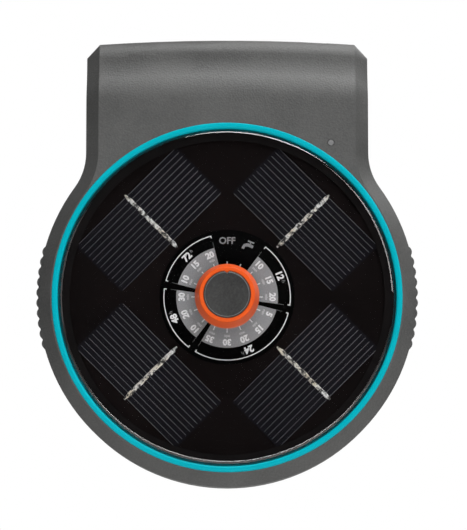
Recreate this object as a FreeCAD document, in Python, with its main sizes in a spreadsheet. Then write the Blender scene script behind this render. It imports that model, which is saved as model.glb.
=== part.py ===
import FreeCAD, Part
import math
import os
import re
import Sketcher
from FreeCAD import Rotation, Vector

# Solar-powered drip irrigation timer with a built-in pump, hung by its rear hook on the rim of a container.
# Millimetres. +Z is up and the dial faces -Y. The origin is the middle of the hook slot's roof.
# Each piece is drawn about the dial axis: x to the right, y back from the face plane, z up.

SIZES = {
    # Case outline and front housing
    "head_radius": 80.0, "neck_half": 60.0, "neck_blend": 25.0, "case_top": 111.3, "top_crown": 2.2,
    "front_depth": 30.0, "case_wall": 3.0, "case_bevel": 5.5,
    "shoulder_rise": 20.0, "shoulder_setback": 5.7, "shoulder_radius": 20.0, "lip_radius": 7.0,
    "top_wall": 5.2, "lip_depth": 15.0, "lip_wall": 11.2,
    "rib_count": 10.0, "rib_pitch": 3.2, "rib_radius": 2.6, "rib_proud": 0.8, "rib_start": 6.0,
    "spare": 20.0,
    # Dial recess, window and solar cells
    "ring_margin": 0.5, "ring_width": 2.6, "ring_depth": 3.0, "ring_proud": 0.3, "ring_edge": 0.5,
    "window_gap": 0.15, "window_roll": 2.2, "window_shelf": 2.0, "recess_depth": 5.6, "floor_thick": 2.9,
    "boss_radius": 5.5, "part_gap": 0.3, "board_thick": 1.6, "cell_thick": 0.25, "cell_clear": 4.7,
    "cell_edge": 9.2, "cell_corner": 2.2, "cell_gap": 0.5, "ribbon_long": 31.5, "ribbon_wide": 2.0,
    "ribbon_thick": 0.1,
    "print_radius": 28.5, "print_thick": 0.4,
    # Selector knob and its shaft
    "knob_radius": 13.6, "knob_top_radius": 11.6, "knob_high": 9.5, "knob_foot": 1.5, "knob_lift": 0.5,
    "cap_radius": 9.8, "cap_thick": 2.0, "cap_proud": 0.4, "cap_gap": 0.15, "cap_edge": 0.5,
    "tooth_half": 1.3, "tooth_deep": 1.0, "shaft_radius": 3.0, "shaft_fit": 0.05, "shaft_end": 22.0,
    "clip_radius": 5.2, "clip_thick": 0.8, "cord_deep": 0.7, "cord_radius": 0.35, "cord_place": 3.0,
    # Status light
    "led_off": 4.8, "led_margin": 16.05, "led_radius": 1.5, "led_flange": 1.9, "led_flange_thick": 1.0,
    "led_board_wide": 10.0, "led_board_high": 8.0,
    # Electronics
    "switch_front": 15.5, "switch_deep": 7.5, "switch_side": 16.0, "switch_wall": 1.0,
    "rotor_radius": 4.2,
    "circuit_left": 24.0, "circuit_right": 46.0, "circuit_low": 46.0, "circuit_high": 26.0,
    "post_radius": 3.0,
    "post_margin": 4.0, "chip_side": 9.0, "chip_high": 1.4, "can_radius": 3.2, "can_high": 4.6,
    # Rear housing
    "flange_thick": 3.0, "flange_inset": 0.8, "rear_depth": 22.0, "rear_inset": 4.0, "rear_wall": 2.5,
    "rear_bevel": 2.0, "shelf_height": 44.0, "seal_outer": 1.2, "seal_wide": 0.8, "seal_deep": 0.8,
    "screw_circle": 72.0, "screw_turn_side": 25.0, "screw_turn_low": 65.0,
    "screw_neck_across": 50.0, "screw_neck_up": 92.0, "screw_post": 4.4,
    "screw_radius": 1.5, "screw_head": 2.8, "screw_head_deep": 1.8, "screw_long": 11.0, "screw_room": 0.4,
    # Battery well, cells and cover
    "well_middle": -8.5, "well_room": 1.4, "well_wall": 2.0, "spring_long": 1.7,
    "battery_radius": 7.2, "battery_long": 50.0, "battery_pitch": 15.4, "battery_tip": 1.5,
    "battery_tip_radius": 2.7, "contact_thick": 0.5,
    "cover_lap": 4.0, "cover_end": 8.5, "cover_thick": 3.0, "cover_gap": 0.4,
    "cover_screw_across": 24.0, "cover_screw_margin": 3.8, "cover_seal_off": 1.4, "cover_seal_wide": 1.2,
    # Rim hook
    "slot_wide": 15.0, "hook_half": 42.0, "hook_thick": 5.0, "hook_leg": 62.0, "hook_root": 34.0,
    "hook_bend": 8.0, "leg_corner": 10.0, "hook_screw_across": 30.0, "pad_thick": 1.5, "pad_high": 34.0,
    "pad_wide": 12.0,
    "pad_across": 10.0, "keyhole_half": 25.0, "keyhole_drop": 33.0, "keyhole_slot": 2.2,
    "keyhole_head": 4.5,
    "keyhole_run": 8.0,
    # Pump, its motor and the water path
    "pump_room": 2.8, "pump_clear": 0.5, "pump_low": 4.0, "pump_high": 13.0, "pump_radius": 12.0,
    "end_cover": 3.0, "gear_module": 0.9, "gear_teeth": 10.0, "gear_wide": 6.0, "gear_gap": 0.05,
    "gear_backlash": 0.12,
    "gear_pin": 1.2, "port_half": 6.0, "port_high": 2.5, "stub_radius": 2.2, "stub_bore": 1.4,
    "stub_long": 8.0,
    "motor_radius": 11.5, "motor_gap": 0.5, "motor_wall": 1.0, "motor_shaft": 1.0, "rotor_gap": 1.0,
    "rotor_core": 8.0, "tube_wall": 1.0, "tube_lap": 5.0, "barb_radius": 2.7, "barb_long": 13.0,
    "barb_flange": 3.8, "barb_flange_thick": 2.0, "cradle_wall": 2.0,
}

# Sizes that follow from the ones above, so that what fits together keeps fitting
FOLLOWING = {
    "cord_groove": "(shaft_radius - cord_deep)",
    "well_floor": "(front_depth + rear_depth - cover_thick - 2 * battery_radius - 2 * part_gap)",
    "pump_mid": "(front_depth + rear_depth - rear_wall - pump_radius - pump_clear)",
    "well_half": "(battery_long / 2 + spring_long + contact_thick)",
    "well_reach": "(battery_pitch + battery_radius + well_room)",
    "well_high": "(well_middle + well_reach)",
    "well_low": "(well_reach - well_middle)",
    "cover_half": "(well_half + cover_lap)",
    "cover_high": "(well_high + cover_end)",
    "cover_low": "(well_low + cover_end)",
    "pump_across": "(well_half + well_wall + pump_room + pump_radius)",
    "motor_long": "(sqrt((head_radius - rear_inset - rear_wall - motor_gap) ^ 2"
                  " - (pump_across + motor_radius) ^ 2) - pump_low - pump_high)",
    "led_reach": "(head_radius - case_bevel - ring_margin + led_off)",
    "led_across": "(neck_half - led_margin)",
    "led_height": "(sqrt(led_reach ^ 2 - (neck_half - led_margin) ^ 2))",
}

doc = FreeCAD.newDocument("drip_irrigation_timer")
sheet = doc.addObject("Spreadsheet::Sheet", "sizes")
for row, (alias, number) in enumerate(SIZES.items(), start=1):
    sheet.set(f"A{row}", alias)
    sheet.set(f"B{row}", str(number))
    sheet.setAlias(f"B{row}", alias)
doc.recompute()

PARTS = []


def spelled_out(word):
    """Give a size its sheet's name, or put in what a following size stands for."""
    if word in FOLLOWING:
        return named(FOLLOWING[word])
    return f"sizes.{word}" if word in SIZES else word


def named(text):
    """Write an expression with the sheet's own names."""
    return re.sub(r"[a-z_]+", lambda found: spelled_out(found.group()), text)


def value(text):
    """Work an expression out from the sheet."""
    return float(sheet.evalExpression(named(text)))


def bind(item, name, text):
    item.setExpression(name, named(text))


def finish(item, label):
    """Name a finished piece, so that it is checked and written."""
    item.Label = label
    PARTS.append(item)
    return item


def seat(item, across="0", back="0", up="0", turn=None):
    """Place an object at a point of the dial frame."""
    if turn is not None:
        item.Placement.Rotation = turn
    bind(item, "Placement.Base.x", across)
    bind(item, "Placement.Base.y", f"{back} - {FACE}")
    bind(item, "Placement.Base.z", f"{up} - {ROOF}")
    return item


# The face lies the case's depth and half the slot before the origin, which is in the roof of the slot
FACE = "(front_depth + rear_depth + slot_wide / 2)"
ROOF = "(case_top - top_crown - hook_thick)"
BACK = "front_depth + rear_depth"
FACING = Rotation(Vector(1, 0, 0), -90)


def hold(sketch, kind, *where, size):
    """Add a driven dimension to a sketch."""
    index = sketch.addConstraint(Sketcher.Constraint(kind, *where, value(size)))
    sketch.setExpression(f"Constraints[{index}]", named(size))


def pin(sketch, item, point, across, up):
    hold(sketch, "DistanceX", -1, 1, item, point, size=across)
    hold(sketch, "DistanceY", -1, 1, item, point, size=up)


def new_body(label):
    body = doc.addObject("PartDesign::Body", label + "_body")
    seat(body)
    return finish(body, label)


def draw_on(body, name, depth="0", role="XZ_Plane"):
    """Start a sketch on a plane of the body, a depth behind the face plane."""
    sketch = body.newObject("Sketcher::SketchObject", body.Name + "_" + name)
    plane = [part for part in body.Origin.OriginFeatures if part.Role == role][0]
    sketch.AttachmentSupport = (plane, [""])
    sketch.MapMode = "FlatFace"
    bind(sketch, "AttachmentOffset.Base.z", f"-({depth})")
    return sketch


def circle(sketch, radius, across="0", up="0"):
    centre = Vector(value(across), value(up), 0)
    index = sketch.addGeometry(Part.Circle(centre, Vector(0, 0, 1), value(radius)), False)
    hold(sketch, "Radius", index, size=radius)
    pin(sketch, index, 3, across, up)
    return index


def polygon(sketch, corners):
    """Draw a closed polygon whose corners are pairs of expressions."""
    points = [Vector(value(a), value(b), 0) for a, b in corners]
    lines = []
    for start, end in zip(points, points[1:] + points[:1]):
        lines.append(sketch.addGeometry(Part.LineSegment(start, end), False))
    for line, (across, up) in zip(lines, corners):
        pin(sketch, line, 1, across, up)
    for line, following in zip(lines, lines[1:] + lines[:1]):
        sketch.addConstraint(Sketcher.Constraint("Coincident", line, 2, following, 1))
    return lines


def rectangle(sketch, left, right, low, high):
    return polygon(sketch, [(left, low), (right, low), (right, high), (left, high)])


def case_outline(sketch, inset, top, shelf=None):
    """Draw the round head and its neck, drawn in by an inset and cut off at a top and perhaps a flat shelf."""
    radius, half = value(f"head_radius - {inset}"), value(f"neck_half - {inset}")
    blend = value(f"neck_blend + {inset}")
    high = value(top)
    rise = math.sqrt((radius + blend) ** 2 - (half + blend) ** 2)
    turn = math.atan2(rise, half + blend)
    out = Vector(0, 0, 1)
    head = Part.Circle(Vector(0, 0, 0), out, radius)
    right = Part.ArcOfCircle(Part.Circle(Vector(half + blend, rise, 0), out, blend), math.pi,
                             math.pi + turn)
    left = Part.ArcOfCircle(Part.Circle(Vector(-half - blend, rise, 0), out, blend), -turn, 0)
    pieces = [
        right, Part.LineSegment(Vector(half, rise, 0), Vector(half, high, 0)),
        Part.LineSegment(Vector(half, high, 0), Vector(-half, high, 0)),
        Part.LineSegment(Vector(-half, high, 0), Vector(-half, rise, 0)), left,
    ]
    if shelf is None:
        pieces.append(Part.ArcOfCircle(head, math.pi - turn, 2 * math.pi + turn))
    else:
        dip = math.asin(value(shelf) / radius)
        chord = radius * math.cos(dip)
        pieces.append(Part.ArcOfCircle(head, math.pi - turn, math.pi + dip))
        pieces.append(Part.ArcOfCircle(head, -dip, turn))
        pieces.append(Part.LineSegment(Vector(-chord, -value(shelf), 0), Vector(chord, -value(shelf), 0)))
    g = [sketch.addGeometry(piece, False) for piece in pieces]
    last = g[5] if shelf is None else g[6]
    rules = [
        ("Coincident", g[5], 3, -1, 1), ("Tangent", last, 2, g[0], 2), ("Tangent", g[0], 1, g[1], 1),
        ("Coincident", g[1], 2, g[2], 1), ("Coincident", g[2], 2, g[3], 1), ("Tangent", g[3], 2, g[4], 2),
        ("Tangent", g[4], 1, g[5], 1), ("Vertical", g[1]), ("Vertical", g[3]), ("Horizontal", g[2]),
        ("Equal", g[0], g[4]),
    ]
    if shelf is not None:
        rules += [
            ("Coincident", g[6], 3, -1, 1), ("Equal", g[5], g[6]), ("Coincident", g[5], 2, g[7], 1),
            ("Coincident", g[7], 2, g[6], 1), ("Horizontal", g[7]),
        ]
    for rule in rules:
        sketch.addConstraint(Sketcher.Constraint(*rule))
    hold(sketch, "Radius", g[5], size=f"head_radius - {inset}")
    hold(sketch, "Radius", g[0], size=f"neck_blend + {inset}")
    hold(sketch, "DistanceX", -1, 1, g[1], 1, size=f"neck_half - {inset}")
    hold(sketch, "DistanceX", -1, 1, g[3], 2, size=f"-(neck_half - {inset})")
    hold(sketch, "DistanceY", -1, 1, g[1], 2, size=top)
    if shelf is not None:
        hold(sketch, "DistanceY", -1, 1, g[7], 1, size=f"-({shelf})")


def pad(body, sketch, length, back=True):
    feature = body.newObject("PartDesign::Pad", sketch.Name + "_pad")
    feature.Profile = sketch
    feature.Reversed = back
    bind(feature, "Length", length)
    doc.recompute()
    return feature


def pocket(body, sketch, length, back=True):
    """Cut towards the back from a sketch, or towards the front."""
    before = body.Shape.Volume
    feature = body.newObject("PartDesign::Pocket", sketch.Name + "_pocket")
    feature.Profile = sketch
    feature.Reversed = not back
    bind(feature, "Length", length)
    doc.recompute()
    if not feature.Shape.Volume < before - 1e-6:
        raise RuntimeError(f"{feature.Name} cut nothing")
    return feature


def revolve(body, sketch, kind="PartDesign::Revolution"):
    """Turn a sketch about the dial axis, which is its vertical axis."""
    feature = body.newObject(kind, sketch.Name + "_turn")
    feature.Profile = sketch
    feature.ReferenceAxis = (sketch, ["V_Axis"])
    feature.Angle = 360
    doc.recompute()
    return feature


def cylinder(radius, length, across="0", back="0", up="0", turn=FACING):
    item = doc.addObject("Part::Cylinder", "cylinder")
    bind(item, "Radius", radius)
    bind(item, "Height", length)
    return seat(item, across, back, up, turn)


def block(wide, deep, high, across="0", back="0", up="0"):
    """A box whose front lower left corner is at a point of the dial frame."""
    item = doc.addObject("Part::Box", "block")
    bind(item, "Length", wide)
    bind(item, "Width", deep)
    bind(item, "Height", high)
    return seat(item, across, back, up)


def fuse(*items):
    joined = doc.addObject("Part::MultiFuse", "joined")
    joined.Shapes = list(items)
    return joined


def cut(base, *tools):
    result = doc.addObject("Part::Cut", "cut")
    result.Base = base
    result.Tool = tools[0] if len(tools) == 1 else fuse(*tools)
    return result


def group(*items):
    """Keep like pieces together as separate solids of one part."""
    together = doc.addObject("Part::Compound", "group")
    together.Links = list(items)
    return together


def tube(outer, inner, length, across="0", back="0", up="0", turn=FACING):
    return cut(cylinder(outer, length, across, back, up, turn),
               cylinder(inner, length, across, back, up, turn))


# Front housing: a round head with a neck, rolled over at the top and bevelled all round
front = new_body("front_housing")
outline = draw_on(front, "outline")
case_outline(outline, "0", "case_top + spare / 2")
pad(front, outline, "front_depth")

SHOULDER = "case_top - lip_radius - shoulder_rise"


def roll_profile(sketch, behind):
    """Draw what is cut off above the shoulder: a soft slope back, a hollow and the rolled lip."""
    setback, rise, soft = value("shoulder_setback"), value("shoulder_rise"), value("shoulder_radius")
    start, top, lip = value(SHOULDER), value("case_top"), value("lip_radius")
    both = (setback ** 2 + rise ** 2) / (2 * setback)
    sweep = math.asin(rise / both)
    out = Vector(0, 0, 1)
    corners = [(behind, "case_top"), (behind, "case_top + spare"), ("-spare", "case_top + spare"),
               ("-spare", SHOULDER)]
    points = [Vector(value(a), value(b), 0) for a, b in corners]
    face_end = Vector(0, start, 0)
    crest = Vector(setback + lip, top, 0)
    hollow_centre = Vector(setback - both + soft, start + rise, 0)
    axis_height = "case_top - (neck_half ^ 2 + top_crown ^ 2) / (2 * top_crown)"
    axis = sketch.addGeometry(
        Part.LineSegment(Vector(0, value(axis_height), 0),
                         Vector(value("spare"), value(axis_height), 0)), True)
    pin(sketch, axis, 1, "0", axis_height)
    pin(sketch, axis, 2, "spare", axis_height)
    slope = sketch.addGeometry(
        Part.ArcOfCircle(Part.Circle(Vector(soft, start, 0), out, soft), math.pi - sweep, math.pi), False)
    hollow = sketch.addGeometry(
        Part.ArcOfCircle(Part.Circle(hollow_centre, out, both - soft), -sweep, 0), False)
    rolled = sketch.addGeometry(
        Part.ArcOfCircle(Part.Circle(Vector(setback + lip, top - lip, 0), out, lip), math.pi / 2,
                         math.pi), False)
    chain = [crest] + points + [face_end]
    lines = [sketch.addGeometry(Part.LineSegment(a, b), False) for a, b in zip(chain, chain[1:])]
    for line, following in zip(lines, lines[1:]):
        sketch.addConstraint(Sketcher.Constraint("Coincident", line, 2, following, 1))
    for line, (across, high) in zip(lines[1:], corners):
        pin(sketch, line, 1, across, high)
    pin(sketch, lines[-1], 2, "0", SHOULDER)
    pin(sketch, slope, 3, "shoulder_radius", SHOULDER)
    pin(sketch, rolled, 3, "shoulder_setback + lip_radius", "case_top - lip_radius")
    for rule in (
        ("Coincident", lines[-1], 2, slope, 2), ("Tangent", slope, 1, hollow, 1),
        ("Tangent", hollow, 2, rolled, 2),
        ("Tangent", rolled, 1, lines[0], 1),
    ):
        sketch.addConstraint(Sketcher.Constraint(*rule))
    return axis


roll = draw_on(front, "roll", "0", "YZ_Plane")
roll_profile(roll, "front_depth + 2")
rolled_top = front.newObject("PartDesign::Groove", "rolled_top")
rolled_top.Profile = roll
rolled_top.ReferenceAxis = (roll, ["Axis0"])
rolled_top.Angle = 80
rolled_top.Midplane = True
doc.recompute()


def bevel_edges(shape):
    """Find the front outline's edges and the edges where the neck's sides meet its rolled top."""
    half, depth = value("neck_half"), value("front_depth")
    found = []
    for number, edge in enumerate(shape.Edges, start=1):
        box = edge.BoundBox
        on_face = box.YMax < 1e-3 and not (box.ZMin > 0 and box.XLength > half)
        on_side = box.XLength < 1e-3 and abs(abs(box.XMin) - half) < 1e-3 and box.YMin < depth - 1e-3
        if on_face or (on_side and box.ZMax > value(SHOULDER) - 3):
            found.append(f"Edge{number}")
    return found


bevel = front.newObject("PartDesign::Chamfer", "case_bevel_cut")
bevel.Base = (rolled_top, bevel_edges(rolled_top.Shape))
bind(bevel, "Size", "case_bevel")
doc.recompute()

# The recess takes the ring and the window on a shelf, and the cells below them
FLOOR = "recess_depth + floor_thick"
RING_OUTER = "(head_radius - case_bevel - ring_margin)"
RING_INNER = f"({RING_OUTER} - ring_width)"
RECESS_RADIUS = f"({RING_INNER} - window_shelf)"
shelf = draw_on(front, "shelf")
circle(shelf, RING_OUTER)
pocket(front, shelf, "ring_depth")
recess = draw_on(front, "recess")
circle(recess, RECESS_RADIUS)
pocket(front, recess, "recess_depth")
boss = draw_on(front, "boss", "recess_depth")
circle(boss, "boss_radius")
pad(front, boss, "recess_depth", back=False)
lip_room = draw_on(front, "lip_room", "front_depth")
case_outline(lip_room, "case_wall", "case_top - top_wall")
pocket(front, lip_room, "front_depth - lip_depth", back=False)
room = draw_on(front, "room", "front_depth")
case_outline(room, "case_wall", "case_top - lip_wall")
pocket(front, room, f"front_depth - ({FLOOR})", back=False)
holes = draw_on(front, "holes", "-1")
circle(holes, "shaft_radius + shaft_fit")
circle(holes, "led_radius", "led_across", "led_height")
pocket(front, holes, f"{FLOOR} + 2")

SCREW_PLACES = [
    (f"{side}({across})", up)
    for side in ("", "-")
    for across, up in (
        ("screw_neck_across", "screw_neck_up"),
        ("screw_circle * cos(screw_turn_side * 1deg)", "-screw_circle * sin(screw_turn_side * 1deg)"),
        ("screw_circle * cos(screw_turn_low * 1deg)", "-screw_circle * sin(screw_turn_low * 1deg)"),
    )
]
posts = draw_on(front, "posts", "front_depth")
for across, up in SCREW_PLACES:
    circle(posts, "screw_post", across, up)
pad(front, posts, f"front_depth - ({FLOOR})", back=False)
post_holes = draw_on(front, "post_holes", "front_depth")
for across, up in SCREW_PLACES:
    circle(post_holes, "screw_radius", across, up)
pocket(front, post_holes, "screw_long", back=False)

# Four posts behind the floor carry the circuit board
BOARD_FRONT = "switch_front + switch_deep"
BOARD_PLACES = [
    (across, up)
    for across in ("-(circuit_left - post_margin)", "circuit_right - post_margin")
    for up in ("-(circuit_low - post_margin)", "circuit_high - post_margin")
]
board_posts = draw_on(front, "board_posts", FLOOR)
for across, up in BOARD_PLACES:
    circle(board_posts, "post_radius", across, up)
pad(front, board_posts, f"{BOARD_FRONT} - ({FLOOR})")
board_holes = draw_on(front, "board_holes", BOARD_FRONT)
for across, up in BOARD_PLACES:
    circle(board_holes, "screw_radius", across, up)
pocket(front, board_holes, "screw_long / 2", back=False)

# Grip ribs run front to back on both sides of the round head
rib = draw_on(front, "rib", "rib_start")
RIB_CENTRE = "head_radius + rib_proud - rib_radius"
FIRST_RIB = "(rib_count - 1) * rib_pitch / 2 * 1deg"
circle(rib, "rib_radius", f"({RIB_CENTRE}) * cos({FIRST_RIB})", f"-({RIB_CENTRE}) * sin({FIRST_RIB})")
rib_pad = pad(front, rib, "front_depth - rib_start")
ribs = front.newObject("PartDesign::MultiTransform", "grip_ribs")
ribs.Originals = [rib_pad]
front.Tip = ribs
turned = front.newObject("PartDesign::PolarPattern", "ribs_turned")
turned.Axis = (rib, ["N_Axis"])
bind(turned, "Angle", "(rib_count - 1) * rib_pitch")
turned.Occurrences = int(value("rib_count"))
across_dial = front.newObject("PartDesign::Mirrored", "ribs_mirrored")
across_dial.MirrorPlane = (rib, ["V_Axis"])
ribs.Transformations = [turned, across_dial]
front.Tip = ribs
doc.recompute()

# The groove for the case seal runs round the rim of the front housing
SEAL_TOP = "case_top - top_crown - seal_outer"
seal_groove = draw_on(front, "seal_groove", "front_depth")
case_outline(seal_groove, "seal_outer", SEAL_TOP)
case_outline(seal_groove, "(seal_outer + seal_wide)", f"{SEAL_TOP} - seal_wide")
pocket(front, seal_groove, "seal_deep", back=False)


# Teal trim ring, pressed into the recess
def dial_profile(body, name, corners):
    """Draw a profile of radius and depth, to be turned about the dial axis."""
    sketch = draw_on(body, name, "0", "XY_Plane")
    polygon(sketch, corners)
    return sketch


trim = new_body("trim_ring")
trim_shape = dial_profile(trim, "profile", [
    (RING_INNER, "ring_depth"), (RING_INNER, "-(ring_proud - ring_edge)"),
    (f"{RING_INNER} + ring_edge", "-ring_proud"),
    (f"{RING_OUTER} - ring_edge", "-ring_proud"), (RING_OUTER, "-(ring_proud - ring_edge)"),
    (RING_OUTER, "ring_depth"),
])
revolve(trim, trim_shape)

# Clear window over the solar cells, its front edge rounded
window = new_body("solar_window")
WINDOW_HOLE = "boss_radius + part_gap"
window_shape = dial_profile(window, "profile", [
    (WINDOW_HOLE, "ring_depth"), (WINDOW_HOLE, "0"), (f"{RING_INNER} - window_gap", "0"),
    (f"{RING_INNER} - window_gap", "ring_depth"),
])
window_disc = revolve(window, window_shape)
window_edge = [
    f"Edge{number}" for number, edge in enumerate(window_disc.Shape.Edges, start=1)
    if edge.BoundBox.YMax < 1e-3 and edge.BoundBox.XMax > value(f"{RING_OUTER} / 2")
]
window_roll = window.newObject("PartDesign::Fillet", "window_roll_cut")
window_roll.Base = (window_disc, window_edge)
bind(window_roll, "Radius", "window_roll")

# Board, cells, their ribbons and the printed dial, stacked on the recess floor
BOARD_FACE = "recess_depth - board_thick"
CELL_FACE = f"{BOARD_FACE} - cell_thick"
finish(tube(f"{RECESS_RADIUS} - part_gap", WINDOW_HOLE, "board_thick", back=BOARD_FACE), "cell_board")
finish(tube("print_radius", WINDOW_HOLE, "print_thick", back=f"{BOARD_FACE} - print_thick"), "dial_print")
CELL_INNER = "(print_radius + cell_clear)"
CELL_OUTER = f"({RECESS_RADIUS} - cell_edge)"
CELL_SHORT = f"({CELL_OUTER} - {CELL_INNER})"
CELL_REACH = f"sqrt(({RECESS_RADIUS} - cell_corner) ^ 2 - {CELL_OUTER} ^ 2)"
CELL_LONG = f"(2 * min({CELL_REACH}; {CELL_INNER} - cell_gap))"
CELL_NAMES = ("upper_right", "upper_left", "lower_left", "lower_right")
ribbons = []
for turn, name in zip((45, 135, 225, 315), CELL_NAMES):
    for label, radial, tangential, thick, face in (
        (f"solar_cell_{name}", CELL_SHORT, CELL_LONG, "cell_thick", CELL_FACE),
        ("ribbon", "ribbon_long", "ribbon_wide", "ribbon_thick", f"{CELL_FACE} - ribbon_thick"),
    ):
        plate = doc.addObject("Part::Box", label)
        bind(plate, "Length", radial)
        bind(plate, "Width", thick)
        bind(plate, "Height", tangential)
        plate.Placement.Rotation = Rotation(Vector(0, 1, 0), -turn)
        out, side = f"(({CELL_INNER} + {CELL_OUTER}) / 2 - {radial} / 2)", f"{tangential} / 2"
        seat(plate, f"{out} * cos({turn}deg) + {side} * sin({turn}deg)", face,
             f"{out} * sin({turn}deg) - {side} * cos({turn}deg)")
        if label == "ribbon":
            ribbons.append(plate)
        else:
            finish(plate, label)
finish(group(*ribbons), "cell_ribbons")

# Selector knob: a tapered orange body with a pointer notch, a grey cap and a shaft through the boss
knob = new_body("knob_body")
KNOB_TOP = "-(knob_lift + knob_high)"
CAP_SEAT = f"({KNOB_TOP} + cap_thick - cap_proud)"
knob_shape = dial_profile(knob, "profile", [
    ("shaft_radius", "-knob_lift"), ("knob_radius", "-knob_lift"),
    ("knob_radius", "-(knob_lift + knob_foot)"),
    ("knob_top_radius", KNOB_TOP), ("cap_radius + cap_gap", KNOB_TOP), ("cap_radius + cap_gap", CAP_SEAT),
    ("shaft_radius", CAP_SEAT),
])
revolve(knob, knob_shape)
tooth = draw_on(knob, "tooth", CAP_SEAT)
TOOTH_TIP = "cap_radius - tooth_deep + cap_gap"
polygon(tooth, [("0", TOOTH_TIP), ("tooth_half", "cap_radius + 2 * cap_gap"),
                ("-tooth_half", "cap_radius + 2 * cap_gap")])
pad(knob, tooth, f"{CAP_SEAT} - ({KNOB_TOP})", back=False)

cap = new_body("knob_cap")
CAP_FACE = f"{KNOB_TOP} - cap_proud"
cap_shape = dial_profile(cap, "profile", [
    ("0", CAP_SEAT), ("cap_radius", CAP_SEAT), ("cap_radius", f"{CAP_FACE} + cap_edge"),
    ("cap_radius - cap_edge", CAP_FACE), ("0", CAP_FACE),
])
revolve(cap, cap_shape)
cap_notch = draw_on(cap, "notch", CAP_SEAT)
polygon(cap_notch, [("0", "cap_radius - tooth_deep"), ("2 * tooth_half", "cap_radius + tooth_deep"),
                    ("-2 * tooth_half", "cap_radius + tooth_deep")])
pocket(cap, cap_notch, "cap_thick", back=False)

shaft = new_body("knob_shaft")
groove_low, groove_high = "cord_place - cord_radius", "cord_place + cord_radius"
shaft_shape = dial_profile(shaft, "profile", [
    ("0", CAP_SEAT), ("shaft_radius", CAP_SEAT), ("shaft_radius", groove_low),
    ("cord_groove", groove_low),
    ("cord_groove", groove_high), ("shaft_radius", groove_high), ("shaft_radius", "shaft_end"),
    ("0", "shaft_end"),
])
revolve(shaft, shaft_shape)
cord = doc.addObject("Part::Torus", "cord")
bind(cord, "Radius1", "cord_groove + cord_radius")
bind(cord, "Radius2", "cord_radius")
finish(seat(cord, back="cord_place", turn=FACING), "shaft_o_ring")
finish(tube("clip_radius", "shaft_radius", "clip_thick", back=f"{FLOOR} + part_gap"), "shaft_clip")

# Rotary switch on the circuit board, its rotor turned by the shaft
ROTOR_FRONT = "switch_front + switch_wall"
switch_block = block("switch_side", "switch_deep", "switch_side", "-switch_side / 2", "switch_front",
                     "-switch_side / 2")
finish(cut(switch_block,
           cylinder("shaft_radius + part_gap", "switch_wall * 2", back="switch_front - switch_wall / 2"),
           cylinder("rotor_radius + shaft_fit", f"{BOARD_FRONT} - 2 * switch_wall - switch_front",
                    back=ROTOR_FRONT)), "rotary_switch")
finish(cut(cylinder("rotor_radius", "switch_deep - 2 * switch_wall - 2 * shaft_fit",
                    back=f"{ROTOR_FRONT} + shaft_fit"),
           cylinder("shaft_radius", f"shaft_end - ({ROTOR_FRONT})", back=ROTOR_FRONT)), "switch_rotor")
board = block("circuit_left + circuit_right", "board_thick", "circuit_low + circuit_high",
              "-circuit_left",
              BOARD_FRONT, "-circuit_low")
finish(cut(board, *[cylinder("screw_radius", "board_thick", across, BOARD_FRONT, up)
                    for across, up in BOARD_PLACES]), "circuit_board")
BOARD_BACK = f"{BOARD_FRONT} + board_thick"
chips = [block("chip_side", "chip_high", "chip_side", f"{column} * chip_side", BOARD_BACK,
               f"{row} * chip_side")
         for column, row in ((-1, 0), (1, -3))]
cans = [cylinder("can_radius", "can_high", f"{column} * can_radius", BOARD_BACK, f"{row} * can_radius")
        for column, row in ((8, 3), (8, -2), (3, 5))]
finish(group(*chips, *cans), "board_components")


def screw(across, seat_depth, up, length):
    """A pan-head screw driven from behind, its head on a seat."""
    shank = cylinder("screw_radius", length, across, f"{seat_depth} - ({length})", up)
    head = cylinder("screw_head", "screw_head_deep", across, seat_depth, up)
    socket = cylinder("screw_radius / 2", "screw_head_deep / 2", across,
                      f"{seat_depth} + screw_head_deep / 2", up)
    return cut(fuse(shank, head), socket)


finish(group(*[screw(across, BOARD_BACK, up, "screw_long / 2") for across, up in BOARD_PLACES]),
       "board_screws")

# Status light beside the dial, on its own small board
LED_BACK = f"{FLOOR} + led_flange_thick"
led = fuse(cylinder("led_radius", FLOOR, "led_across", "0", "led_height"),
           cylinder("led_flange", "led_flange_thick", "led_across", FLOOR, "led_height"))
finish(led, "status_light")
finish(block("led_board_wide", "board_thick", "led_board_high", "led_across - led_board_wide / 2",
             LED_BACK,
             "led_height - led_board_high / 2"), "light_board")

# Case seal in its groove
case_seal = new_body("case_seal")
seal_line = draw_on(case_seal, "line", "front_depth")
case_outline(seal_line, "seal_outer", SEAL_TOP)
case_outline(seal_line, "(seal_outer + seal_wide)", f"{SEAL_TOP} - seal_wide")
pad(case_seal, seal_line, "seal_deep", back=False)

# Rear housing: a flange that closes the front housing, and a box that stops at a flat shelf
rear = new_body("rear_housing")
box_line = draw_on(rear, "box_line", "front_depth")
case_outline(box_line, "rear_inset", ROOF, "shelf_height")
box_pad = pad(rear, box_line, "rear_depth")
box_edges = [f"Edge{number}" for number, edge in enumerate(box_pad.Shape.Edges, start=1)
             if edge.BoundBox.YMin > value(BACK) - 1e-3]
box_bevel = rear.newObject("PartDesign::Chamfer", "rear_bevel_cut")
box_bevel.Base = (box_pad, box_edges)
bind(box_bevel, "Size", "rear_bevel")
flange_line = draw_on(rear, "flange_line", "front_depth")
case_outline(flange_line, "flange_inset", "case_top - top_crown - flange_inset")
pad(rear, flange_line, "flange_thick")
rear_room = draw_on(rear, "rear_room", "front_depth")
case_outline(rear_room, "(rear_inset + rear_wall)", f"{ROOF} - rear_wall", "(shelf_height - rear_wall)")
pocket(rear, rear_room, "rear_depth - rear_wall")

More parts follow.
